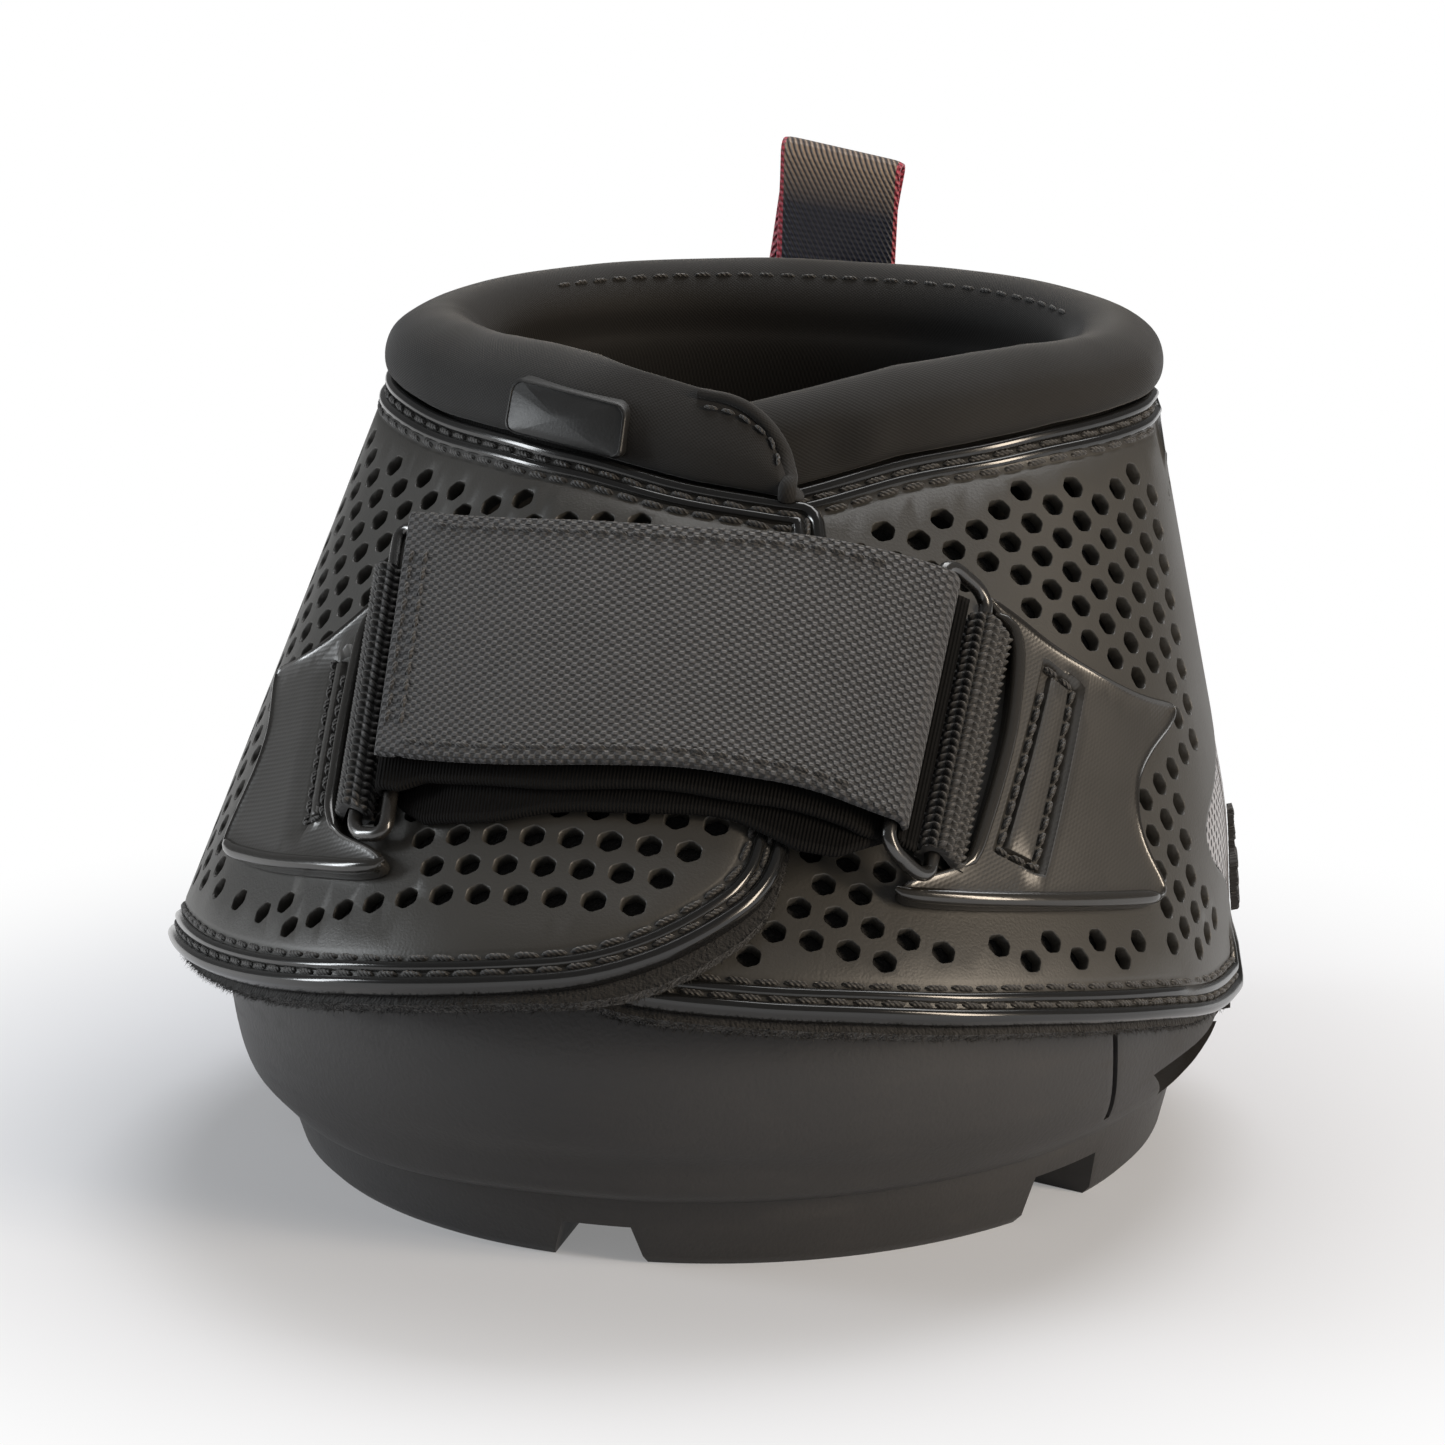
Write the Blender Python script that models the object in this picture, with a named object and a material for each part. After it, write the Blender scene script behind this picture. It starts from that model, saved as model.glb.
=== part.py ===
"""Hoof boot for a horse, in metres, +Z up, toe toward -Y, standing on its tread.

Left and right are those of someone who faces the toe. Angles run round the upper in
degrees: 0 at the toe, 90 at the right side, -90 at the left side, 180 at the heel.
"""

import math

import bmesh
import bpy
from mathutils import Vector
from mathutils.geometry import delaunay_2d_cdt

# Upper: a ruled shell between a low ring and a rim ring
low_height = 0.030
rim_height = 0.1035
low_half_width = 0.0753
low_toe = 0.0926
low_heel = 0.0735
low_middle = 0.0009
rim_half_width = 0.0545
rim_toe = 0.0044
rim_heel = 0.0823
rim_middle = 0.0325
heel_narrowing_share = 0.03
heel_squareness = 2.3

# Clearance and thicknesses
clearance = 0.0003
panel_thickness = 0.0020
lining_thickness = 0.0022
flap_base_lift = 0.0010
flap_overlap_lift = 0.0056
flap_rise_start = -50
flap_rise_end = -12
hinge_angle = 98
outline_spacing = 0.0065
height_weight_share = 0.4
grid_angle = 6.5
grid_rise = 0.0140
grid_reach_share = 0.35
fold_over_share = 0.93
lining_show = 0.0022

# Beads moulded along the edges of the flaps
bead_lift = 0.0007
bead_half_width = 0.0007
first_bead_inset = 0.0011
second_bead_inset = 0.0050

# Hexagonal holes, in rows of a regular pattern on the flat cut of each flap. A row runs
# through two places, each an angle and a height as a share of rim_height.
hole_width = 0.0030
hole_pitch = 0.0050
hole_margin = 0.0082
hole_plate_margin = 0.0037
hole_strap_margin = 0.0010
hole_rear_angle = 88
ruling_angle = 2
left_row_shares = ((-19.4, 0.4725), (8.5, 0.484))
left_row_rise = 0.0047
left_lowest_row = 0
right_row_shares = ((32.9, 0.879), (59.7, 0.7865))
right_row_rise = 0.0044
right_lowest_row = -16

# Edges of the flaps: angle, then height as a share of rim_height
left_flap_shares = (
    (-98, 0.230), (-83, 0.264), (-69, 0.308), (-52, 0.340), (-40, 0.359), (-26, 0.376),
    (-17, 0.386), (-7, 0.400), (2, 0.414), (9, 0.437), (15, 0.470), (18.5, 0.500),
    (20, 0.540), (20.5, 0.620), (20.5, 0.780), (20, 0.860), (18, 0.892), (13, 0.900),
    (1, 0.913), (-10, 0.930), (-19, 0.941), (-28, 0.955), (-38, 0.967), (-55, 0.981),
    (-65, 0.987), (-80, 0.993), (-98, 0.995),
)
right_flap_shares = (
    (98, 0.995), (75, 0.996), (56, 0.992), (43, 0.982), (29, 0.968), (15, 0.938),
    (3, 0.915), (-5, 0.895), (-9, 0.860), (-10, 0.780), (-10, 0.620), (-9, 0.520),
    (-5, 0.460), (3, 0.426), (18, 0.408), (30, 0.394), (40, 0.377), (53, 0.351),
    (69, 0.308), (83, 0.264), (98, 0.230),
)
heel_bottom_share = 0.228
heel_top_share = 0.995
top_edge_share = 0.884

# Sole: its widest ring stands inside the upper, and the others are drawn in from it
tread_middle = 0.0100
wall_middle = 0.0010
sole_sides = 56
sole_side_clearance = 0.0063
sole_toe_clearance = 0.0226
sole_heel_clearance = 0.0052
wall_high_height = 0.0320
wall_high_half_width = low_half_width - sole_side_clearance
wall_high_toe = low_toe - sole_toe_clearance
wall_high_heel = low_heel - sole_heel_clearance
wall_mid_height = 0.0210
wall_side_draw = 0.0007
wall_toe_draw = 0.0026
wall_heel_draw = 0.0015
wall_mid_half_width = wall_high_half_width - wall_side_draw
wall_mid_toe = wall_high_toe - wall_toe_draw
wall_mid_heel = wall_high_heel - wall_heel_draw
lip_toe_height = 0.0425
lip_side_height = 0.0360
lip_heel_height = 0.0380
lip_side_draw = 0.0023
lip_toe_draw = 0.0020
lip_heel_flare = 0.0007
tread_side_draw = 0.0081
tread_toe_draw = 0.0119
tread_heel_draw = 0.0053
tread_half_width = wall_mid_half_width - tread_side_draw
tread_toe = wall_mid_toe - tread_toe_draw
tread_heel = wall_mid_heel - tread_heel_draw
tread_rim_side = 0.0162
tread_rim_toe = 0.0135
tread_rim_heel = 0.0165
tread_edge = 0.0012
crease_toe_height = 0.0120
crease_side_height = 0.0080
crease_step = 0.0018
crease_rise = 0.0009
tread_flare = 0.0027
sole_wall = 0.0036
floor_height = 0.0105
floor_rounding = 0.0035
floor_inset = 0.0060
foot_inset = 0.0105
recess_depth = 0.0045
recess_draft = 0.0015
notch_depth = 0.0048
toe_notch_width = 0.0110
toe_notch_shift = 0.0010
side_notch_width = 0.0140
notch_run = 0.0300
notch_angles = (0, 68, -68)
slit_angles = (66, -66)
slit_width = 0.0014
slit_depth = 0.0026
slit_floor = 0.0140
heel_cut_angles = (101, -101)
heel_cut_width = 0.0110
heel_cut_floor = 0.0140
heel_cut_low_share = 0.25
heel_cut_reach_share = 6
overrun = 0.0100

# Collar roll
roll_depth = 0.0130
roll_front_height = 0.0128
roll_heel_height = 0.0090
roll_front_angle = 10
roll_side_angle = 90
roll_tuck = 0.0080
roll_profile_shares = (
    (-0.02, 0.08), (0.10, 0.24), (0.115, 0.45), (0.05, 0.69), (-0.15, 0.90), (-0.42, 0.99),
    (-0.69, 0.90), (-0.88, 0.66), (-0.95, 0.35), (-0.88, -0.07),
)
roll_angle = 7
left_roll_front = 14
left_roll_thin_start = -20
left_roll_thin_end = -8
left_roll_thin_share = 0.36
left_roll_thin_tuck = 0.0012
right_roll_front = 4
right_roll_bulge_start = 26
right_roll_bulge_end = 18
roll_end_angle = 2.2
roll_end_share = 0.72

# Anchor plates: angle, then height as a share of rim_height
plate_thickness = 0.0020
plate_rim_lift = 0.0009
plate_rim_inset = 0.0008
plate_rim_width = 0.0018
plate_spacing = 0.0050
right_plate_shares = (
    (42, 0.807), (46, 0.740), (44, 0.668), (41, 0.587), (39, 0.530), (36, 0.519),
    (32, 0.507), (32, 0.498), (38, 0.487), (44, 0.474), (55, 0.455), (65, 0.434),
    (68, 0.436), (68, 0.450), (66, 0.482), (63, 0.521), (63, 0.555), (65, 0.584),
    (70, 0.606), (75, 0.628), (75, 0.643), (69, 0.656), (61, 0.684), (53, 0.722),
    (47, 0.766),
)
left_plate_shares = (
    (-39, 0.780), (-43, 0.730), (-48, 0.693), (-55, 0.668), (-56, 0.655), (-53, 0.627),
    (-49, 0.572), (-49, 0.526), (-52, 0.482), (-55, 0.459), (-54, 0.449), (-49, 0.453),
    (-42, 0.461), (-35, 0.469), (-25, 0.479), (-22, 0.493), (-24, 0.507), (-31, 0.528),
    (-36, 0.558), (-39, 0.630), (-42, 0.690),
)
slot_recess = 0.0009
slot_rim = 0.0006
right_slot_shares = ((49.5, 0.725), (45, 0.520), (49, 0.497), (54, 0.693))
left_slot_shares = ((-43.5, 0.680), (-48, 0.650), (-39, 0.497), (-34.5, 0.512))

# Strap and its layers, as lifts of their middle planes over the left flap
strap_length = 0.081
strap_thickness = 0.0013
strap_cover_angle = 8
strap_top_angles = (-34, 37)
strap_bottom_angles = (-26, 32)
strap_top_shares = (
    (0.0, 0.829), (0.37, 0.842), (0.54, 0.841), (0.72, 0.839), (0.89, 0.818), (1.0, 0.794),
)
strap_bottom_shares = (
    (0.0, 0.581), (0.26, 0.591), (0.45, 0.600), (0.6, 0.602), (0.81, 0.584), (1.0, 0.541),
)
return_lift = 0.00125
main_lift = 0.00285
tail_lift = 0.00535
tail_end_lift = 0.0055
tail_end_place = 0.0003
tail_rise_place = 0.0054
tail_bend_place = 0.0135
strap_slack = 0.0059
strap_dip = 0.0117
return_place = 0.040
band_rows = 5
hook_pad_thickness = 0.0006
hook_pad_place = 0.0152
hook_pad_length = 0.030
hook_pad_margin_share = 0.08

# Rings: a wire bent to a slim oblong, one long side in the strap, one in the elastic
wire_radius = 0.0010
loop_clearance = 0.0003
ring_spacing = 0.0068
ring_end_share = 0.07
ring_corner_share = 0.055
ring_corner_width_share = 0.36
ring_corner_steps = 4
wire_sides = 8
left_bar_place = 0.0015
left_front_bar_lift = 0.00165
left_rear_bar_lift = 0.0010
right_rear_bar_lift = -0.0001

# Elastics between the rings and the anchor plates
elastic_thickness = 0.0012
left_elastic_length = 0.0040
right_elastic_length = 0.0042
elastic_top_shortening = 0.0014
elastic_low_share = 0.04
elastic_high_share = 0.88
elastic_rows = 5
arc_steps = 6

# Badge on the left collar
badge_angles = (-27, -7.8)
badge_low = 0.0010
badge_high = 0.0090
badge_thickness = 0.0010
badge_corner_share = 0.16
badge_corner_rise_share = 0.256
badge_rows = 4
badge_columns = 6
badge_gap = 0.0016

# Heel tape and pull tab
tape_half_angle = 7
tape_thickness = 0.0012
tab_width = 0.0190
tab_thickness = 0.0009
tab_gap = 0.0024
tab_tuck = 0.0050
tab_rise = 0.0262
tab_shift = 0.0028
tab_lean = 0.0012
tab_slant = 0.0034
tab_spread = 0.0018


def clear_scene():
    for thing in list(bpy.data.objects):
        bpy.data.objects.remove(thing, do_unlink=True)


def finish(name, colour, roughness, metallic=0.0):
    material = bpy.data.materials.new(name)
    material.use_nodes = True
    shader = material.node_tree.nodes["Principled BSDF"]
    shader.inputs["Base Color"].default_value = (*colour, 1.0)
    shader.inputs["Roughness"].default_value = roughness
    shader.inputs["Metallic"].default_value = metallic
    return material


def mix(a, b, share):
    return a + (b - a) * share


def ease(share):
    share = min(1.0, max(0.0, share))
    return share * share * (3 - 2 * share)


def power(value, exponent):
    return math.copysign(abs(value) ** exponent, value)


def bare_upper(angle, height):
    """A point of the ruled shell without any lift."""
    share = (height - low_height) / (rim_height - low_height)
    half_width = mix(low_half_width, rim_half_width, share)
    middle = mix(low_middle, rim_middle, share)
    toe = mix(-low_toe, -rim_toe, share)
    heel = mix(low_heel, rim_heel, share)
    sine = math.sin(math.radians(angle))
    cosine = math.cos(math.radians(angle))
    narrowing = 1 - heel_narrowing_share * ((1 - cosine) / 2) ** 1.5
    if cosine > 0:
        return Vector((half_width * sine * narrowing, middle - (middle - toe) * cosine, height))
    x = half_width * power(sine, 2 / heel_squareness) * narrowing
    return Vector((x, middle - (heel - middle) * power(cosine, 2 / heel_squareness), height))


def slopes(angle, height):
    """Change of the shell's point per degree of angle, and per metre of height."""
    around = bare_upper(angle + 0.5, height) - bare_upper(angle - 0.5, height)
    up = (bare_upper(angle, rim_height) - bare_upper(angle, low_height)) / (rim_height - low_height)
    return around, up


def shell_normal(angle, height):
    around, up = slopes(angle, height)
    return around.cross(up).normalized()


def upper(angle, height, lift=0.0):
    return bare_upper(angle, height) + shell_normal(angle, height) * lift


def flap_lift(angle):
    """How far the left flap stands off the shell, so that it passes over the right flap."""
    rise = ease((angle - flap_rise_start) / (flap_rise_end - flap_rise_start))
    return mix(flap_base_lift, flap_overlap_lift, rise)


def hinge_gap_angle():
    return math.degrees(clearance / 2 / rim_half_width)


def curve_through(points, spacing):
    """Catmull-Rom curve through (angle, height) points, cut to steps of about the spacing."""
    last = len(points) - 1
    curve = [points[0]]
    for i in range(last):
        before = points[max(i - 1, 0)]
        start = points[i]
        end = points[i + 1]
        after = points[min(i + 2, last)]
        length = (bare_upper(*end) - bare_upper(*start)).length
        steps = max(1, round(length / spacing))
        for step in range(1, steps + 1):
            t = step / steps
            curve.append(tuple(
                0.5 * (2 * b + (c - a) * t + (2 * a - 5 * b + 4 * c - d) * t * t
                       + (3 * b - a - 3 * c + d) * t * t * t)
                for a, b, c, d in zip(before, start, end, after)
            ))
    return curve


def table(shares, place):
    """Value at a place from a table of (place, value) shares, straight between its rows."""
    for (start, low), (end, high) in zip(shares, shares[1:]):
        if place <= end or end == shares[-1][0]:
            return mix(low, high, (place - start) / (end - start))
    return shares[-1][1]


def move_inward(point, tangent, distance):
    """Shift an (angle, height) point to the left of the tangent, along the shell."""
    around, up = slopes(*point)
    inward = around.cross(up).normalized().cross(tangent).normalized() * distance
    a, b, c = around.dot(around), around.dot(up), up.dot(up)
    p, q = inward.dot(around), inward.dot(up)
    scale = a * c - b * b
    return (point[0] + (c * p - b * q) / scale, point[1] + (a * q - b * p) / scale)


def inset(path, distance, closed, ends_on_angle=None):
    """Path moved inward by a distance, without the points that a tight corner folds over."""
    count = len(path)
    places = [bare_upper(*point) for point in path]
    moved = []
    for i in range(count):
        if closed:
            tangent = places[(i + 1) % count] - places[i - 1]
        else:
            tangent = places[min(i + 1, count - 1)] - places[max(i - 1, 0)]
        point = move_inward(path[i], tangent, distance)
        is_end = not closed and i in (0, count - 1)
        if is_end:
            point = (ends_on_angle, point[1])
        place = bare_upper(*point)
        near = min((place - other).length for other in places)
        if is_end or near > distance * fold_over_share:
            moved.append(point)
    return moved


def inside(point, polygon):
    x, y = point
    odd = False
    for (x1, y1), (x2, y2) in zip(polygon, polygon[1:] + polygon[:1]):
        if (y1 > y) != (y2 > y) and x < x1 + (y - y1) / (y2 - y1) * (x2 - x1):
            odd = not odd
    return odd


def flatten(point):
    """Plane coordinates for the triangulation of an (angle, height) point.

    One unit is the clearance, so that the plane grows with no size, and heights count
    less, because the shell is straight up its slope and bends round the hoof.
    """
    around = math.radians(point[0]) * low_half_width / clearance
    return Vector((around, point[1] * height_weight_share / clearance))


def unflatten(place):
    angle = math.degrees(place.x * clearance / low_half_width)
    return (angle, place.y * clearance / height_weight_share, 0.0)


def grid_points(border, taken):
    """Points inside a border, on columns and rows, clear of the points already there."""
    lows = unflatten(Vector((min(p.x for p in border), min(p.y for p in border))))
    highs = unflatten(Vector((max(p.x for p in border), max(p.y for p in border))))
    reach = outline_spacing * grid_reach_share / clearance
    outline = [tuple(point) for point in border]
    found = []
    for column in range(math.ceil(lows[0] / grid_angle), math.floor(highs[0] / grid_angle) + 1):
        for row in range(math.ceil(lows[1] / grid_rise), math.floor(highs[1] / grid_rise) + 1):
            point = (column * grid_angle, row * grid_rise, 0.0)
            place = flatten(point)
            if not inside(place, outline):
                continue
            if min((place - other).length for other in taken) > reach:
                found.append(point)
    return found


def sheet_object(name, outline, lines, outer, inner, material, holes=()):
    """A closed shell piece: outline and lines hold (angle, height, lift) points.

    outer and inner give the place of a point on each face. lines hold closed or open
    runs of points that the outer face follows, each as (points, closed). holes hold the
    corners of convex holes.
    """
    points = []
    index = {}

    def add(point):
        key = (round(point[0], 4), round(point[1], 7))
        if key not in index:
            index[key] = len(points)
            points.append(point)
        return index[key]

    edges = []
    ring = [add(point) for point in outline]
    edges += zip(ring, ring[1:] + ring[:1])
    for run, closed in lines:
        chain = [add(point) for point in run]
        edges += zip(chain, chain[1:])
        if closed:
            edges.append((chain[-1], chain[0]))
    corners = []
    for hole in holes:
        chain = [add(point) for point in hole]
        edges += zip(chain, chain[1:] + chain[:1])
        corners.append(set(chain))
    hole_of = {i: corner for corner in corners for i in corner}
    flat = [flatten(point) for point in points]
    for point in grid_points([flat[i] for i in ring], flat):
        add(point)
        flat.append(flatten(point))
    edges = [(a, b) for a, b in edges if a != b]
    result = delaunay_2d_cdt(flat, edges, [], 0, 1e-6)
    names = []
    for place, originals in zip(result[0], result[3]):
        names.append(originals[0] if originals else len(points))
        if not originals:
            points.append(unflatten(place))
    border = [tuple(flat[i]) for i in ring]
    triangles = []
    for face in result[2]:
        centre = sum((result[0][i] for i in face), Vector((0.0, 0.0))) / 3
        face = [names[i] for i in face]
        in_hole = face[0] in hole_of and hole_of[face[0]].issuperset(face)
        if not in_hole and inside(centre, border):
            triangles.append(face)
    used = sorted({i for face in triangles for i in face})
    order = {old: new for new, old in enumerate(used)}
    triangles = [[order[i] for i in face] for face in triangles]
    vertices = [outer(points[i]) for i in used] + [inner(points[i]) for i in used]
    shift = len(used)
    faces = [list(face) for face in triangles]
    faces += [[i + shift for i in reversed(face)] for face in triangles]
    sides = {(a, b) for face in triangles for a, b in zip(face, face[1:] + face[:1])}
    faces += [[b, a, a + shift, b + shift] for a, b in sides if (b, a) not in sides]
    return mesh_object(name, vertices, faces, material)


def mesh_object(name, vertices, faces, material, smooth_angle=40):
    mesh = bpy.data.meshes.new(name)
    mesh.from_pydata([tuple(v) for v in vertices], [], faces)
    work = bmesh.new()
    work.from_mesh(mesh)
    bmesh.ops.recalc_face_normals(work, faces=work.faces)
    work.to_mesh(mesh)
    work.free()
    mesh.shade_smooth()
    mesh.set_sharp_from_angle(angle=math.radians(smooth_angle))
    mesh.materials.append(material)
    thing = bpy.data.objects.new(name, mesh)
    bpy.context.collection.objects.link(thing)
    return thing


def loft_object(name, rings, material, closed=False):
    """Skin over rings of equal counts. An open run of rings gets its two caps."""
    count = len(rings[0])
    vertices = [point for ring in rings for point in ring]
    faces = []
    pairs = list(zip(range(len(rings)), range(1, len(rings))))
    if closed:
        pairs.append((len(rings) - 1, 0))
    for low, high in pairs:
        for i in range(count):
            j = (i + 1) % count
            faces.append([low * count + i, low * count + j, high * count + j, high * count + i])
    if not closed:
        faces.append(list(range(count)))
        faces.append([(len(rings) - 1) * count + i for i in range(count)])
    return mesh_object(name, vertices, faces, material)


def ribbon(path, thickness):
    """Outline of a band whose middle follows a path of plane points."""
    left = []
    right = []
    last = len(path) - 1
    for i, point in enumerate(path):
        along = Vector(path[min(i + 1, last)]) - Vector(path[max(i - 1, 0)])
        across = Vector((-along.y, along.x)).normalized() * (thickness / 2)
        left.append(Vector(point) + across)
        right.append(Vector(point) - across)
    return left + right[::-1]


def arc(centre, radius, start, end, steps):
    return [
        (centre[0] + radius * math.cos(math.radians(mix(start, end, i / steps))),
         centre[1] + radius * math.sin(math.radians(mix(start, end, i / steps))))
        for i in range(steps + 1)
    ]


def body(name, place):
    empty = bpy.data.objects.new(name, None)
    empty.location = place
    bpy.context.collection.objects.link(empty)
    return empty


def carry(thing, empty):
    """Parent a piece to a body's empty and keep it where it was modelled."""
    offset = -empty.location.copy()
    for vertex in thing.data.vertices:
        vertex.co += offset
    thing.parent = empty
    return thing


# Sole

def sole_ring(middle, reaches, heights, inset=0.0):
    """One outline of the sole from its reaches (half width, toe, heel) and heights (toe,
    side, heel), drawn in by the inset."""
    half_width, toe, heel = (reach - inset for reach in reaches)
    toe_height, side_height, heel_height = heights
    ring = []
    for i in range(sole_sides):
        angle = 2 * math.pi * i / sole_sides
        sine, cosine = math.sin(angle), math.cos(angle)
        end_height = toe_height if cosine > 0 else heel_height
        height = mix(side_height, end_height, cosine * cosine)
        if cosine > 0:
            ring.append((half_width * sine, middle - (middle + toe) * cosine, height))
        else:
            exponent = 2 / heel_squareness
            y = middle - (heel - middle) * power(cosine, exponent)
            ring.append((half_width * power(sine, exponent), y, height))
    return ring


def cutter(name, size, place, turn, point_down=False):
    """A box for cutting: size along X, Y and Z, centred on place, turned about Z."""
    mesh = bpy.data.meshes.new(name)
    work = bmesh.new()
    bmesh.ops.create_cube(work, size=1.0)
    for vertex in work.verts:
        if point_down and vertex.co.z < 0:
            vertex.co.x *= heel_cut_low_share
        vertex.co = Vector((vertex.co.x * size[0], vertex.co.y * size[1], vertex.co.z * size[2]))
    work.to_mesh(mesh)
    work.free()
    thing = bpy.data.objects.new(name, mesh)
    thing.location = place
    thing.rotation_euler = (0, 0, turn)
    thing.hide_render = True
    thing.display_type = "WIRE"
    bpy.context.collection.objects.link(thing)
    return thing


def cut(thing, tool):
    modifier = thing.modifiers.new(tool.name, "BOOLEAN")
    modifier.operation = "DIFFERENCE"
    modifier.solver = "EXACT"
    modifier.object = tool


def sole_direction(angle):
    return Vector((math.sin(math.radians(angle)), -math.cos(math.radians(angle)), 0))


def sole_outlines():
    """Reaches (half width, toe, heel) and heights (toe, side, heel) shared by the sole's
    two pieces."""
    tread = (tread_half_width, tread_toe, tread_heel)
    wall_mid = (wall_mid_half_width, wall_mid_toe, wall_mid_heel)
    crease = (crease_toe_height, crease_side_height, crease_side_height)
    return tread, wall_mid, crease


def make_sole(material):
    """The tread and the floor that the hoof stands on."""
    tread, wall_mid, crease = sole_outlines()
    rims = (tread_rim_side, tread_rim_toe, tread_rim_heel)
    recess = tuple(reach - rim for reach, rim in zip(tread, rims))
    foot = foot_inset + clearance
    rings = [
        sole_ring(tread_middle, recess, (recess_depth,) * 3, recess_draft),
        sole_ring(tread_middle, recess, (0, 0, 0)),
        sole_ring(tread_middle, tread, (0, 0, 0)),
        sole_ring(tread_middle, tread, (tread_edge,) * 3, -tread_edge),
        sole_ring(tread_middle, tread, crease, -tread_flare),
        sole_ring(wall_middle, wall_mid, crease, foot),
        sole_ring(wall_middle, wall_mid, (floor_height,) * 3, foot + clearance),
    ]
    sole = loft_object("sole", rings, material)
    for number, angle in enumerate(notch_angles):
        direction = sole_direction(angle)
        reach = tread_half_width if angle else tread_toe
        place = direction * reach + Vector((0, 0, (notch_depth - overrun) / 2))
        width = side_notch_width if angle else toe_notch_width
        size = (width, notch_run, notch_depth + overrun)
        if not angle:
            place.x -= toe_notch_shift
        cut(sole, cutter(f"notch_cutter_{number}", size, place, math.radians(angle)))
    return sole


def make_sole_wall(material):
    """The cup's wall, which stands on the tread and leans out to its widest ring."""
    tread, wall_mid, crease = sole_outlines()
    wall_high = (wall_high_half_width, wall_high_toe, wall_high_heel)
    lip = (wall_high_half_width - lip_side_draw, wall_high_toe - lip_toe_draw,
           wall_high_heel + lip_heel_flare)
    foot_heights = tuple(height + clearance for height in crease)
    step = tuple(height + crease_rise for height in foot_heights)
    lip_heights = (lip_toe_height, lip_side_height, lip_heel_height)
    rings = [
        sole_ring(wall_middle, wall_mid, foot_heights, foot_inset),
        sole_ring(tread_middle, tread, step, -tread_flare - crease_step),
        sole_ring(wall_middle, wall_mid, (wall_mid_height,) * 3),
        sole_ring(wall_middle, wall_high, (wall_high_height,) * 3),
        sole_ring(wall_middle, lip, lip_heights),
        sole_ring(wall_middle, lip, lip_heights, sole_wall),
        sole_ring(wall_middle, wall_mid, (wall_mid_height,) * 3, sole_wall),
        sole_ring(wall_middle, wall_mid, (floor_height + floor_rounding,) * 3, floor_inset),
    ]
    wall = loft_object("sole_wall", rings, material, closed=True)
    for number, angle in enumerate(slit_angles):
        direction = sole_direction(angle)
        reach = wall_high_half_width - slit_depth + overrun
        top = lip_side_height + overrun
        place = direction * reach + Vector((0, 0, (slit_floor + top) / 2))
        size = (slit_width, overrun * 2, top - slit_floor)
        cut(wall, cutter(f"slit_cutter_{number}", size, place, math.radians(angle)))
    for number, angle in enumerate(heel_cut_angles):
        direction = sole_direction(angle)
        top = lip_heel_height + overrun
        place = direction * wall_mid_half_width
        place.y += wall_middle
        place.z = (heel_cut_floor + top) / 2
        size = (heel_cut_width, sole_wall * heel_cut_reach_share, top - heel_cut_floor)
        tool = cutter(f"heel_cutter_{number}", size, place, math.radians(angle), True)
        cut(wall, tool)
    return wall


# Flap panels and linings

def lengths(shares):
    """(angle, height) points from a table of (angle, share of rim height)."""
    return [(angle, share * rim_height) for angle, share in shares]


def flap_path(shares):
    gap = hinge_gap_angle()
    path = curve_through(lengths(shares), outline_spacing)
    edge = path[0][0]
    turned = edge - math.copysign(gap, edge)
    path[0] = (turned, path[0][1])
    path[-1] = (turned, path[-1][1])
    return path


def flat_rulings(start, end):
    """The shell from a start angle to an end angle laid out flat, ruling by ruling.

    Each ruling is its angle and the flat places of its low and rim ends. Distances between
    neighbouring rulings' ends stay as they are on the shell.
    """
    rulings = []
    for angle in spread(start, end, ruling_angle):
        low = bare_upper(angle, low_height)
        high = bare_upper(angle, rim_height)
        if rulings:
            flat_low = opposite(flat_low, flat_high, (low - last_low).length,
                                (low - last_high).length)
            flat_high = opposite(flat_low, flat_high, (high - low).length,
                                 (high - last_high).length)
        else:
            flat_low = Vector((0.0, 0.0))
            flat_high = Vector((0.0, (high - low).length))
        rulings.append((angle, flat_low, flat_high))
        last_low, last_high = low, high
    return rulings


def opposite(low, high, from_low, from_high):
    """The plane point at two distances from two others, on the right of low to high."""
    line = high - low
    along = (from_low ** 2 - from_high ** 2 + line.length_squared) / (2 * line.length)
    across = math.sqrt(max(0.0, from_low ** 2 - along ** 2))
    upward = line.normalized()
    return low + upward * along + Vector((upward.y, -upward.x)) * across


def lay_flat(rulings, angle, height):
    share = (height - low_height) / (rim_height - low_height)
    for (a1, low1, high1), (a2, low2, high2) in zip(rulings, rulings[1:]):
        if angle <= a2:
            break
    part = (angle - a1) / (a2 - a1)
    return low1.lerp(low2, part).lerp(high1.lerp(high2, part), share)


def lay_back(rulings, place):
    """Angle and height of a place on the flat pattern, or None past its ends."""
    offsets = []
    for _, low, high in rulings:
        line = (high - low).normalized()
        offsets.append((place - low).dot(Vector((line.y, -line.x))))
    for i in range(len(rulings) - 1):
        if offsets[i] >= 0 > offsets[i + 1]:
            part = offsets[i] / (offsets[i] - offsets[i + 1])
            low = rulings[i][1].lerp(rulings[i + 1][1], part)
            high = rulings[i][2].lerp(rulings[i + 1][2], part)
            share = (place - low).dot(high - low) / (high - low).length_squared
            angle = mix(rulings[i][0], rulings[i + 1][0], part)
            return angle, mix(low_height, rim_height, share)
    return None


def is_clear(place, polygon, margin):
    """Whether a flat place keeps a margin from a polygon's edges."""
    for start, end in zip(polygon, polygon[1:] + polygon[:1]):
        edge = end - start
        share = min(1.0, max(0.0, (place - start).dot(edge) / edge.length_squared))
        if (start + edge * share - place).length < margin:
            return False
    return True


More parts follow.
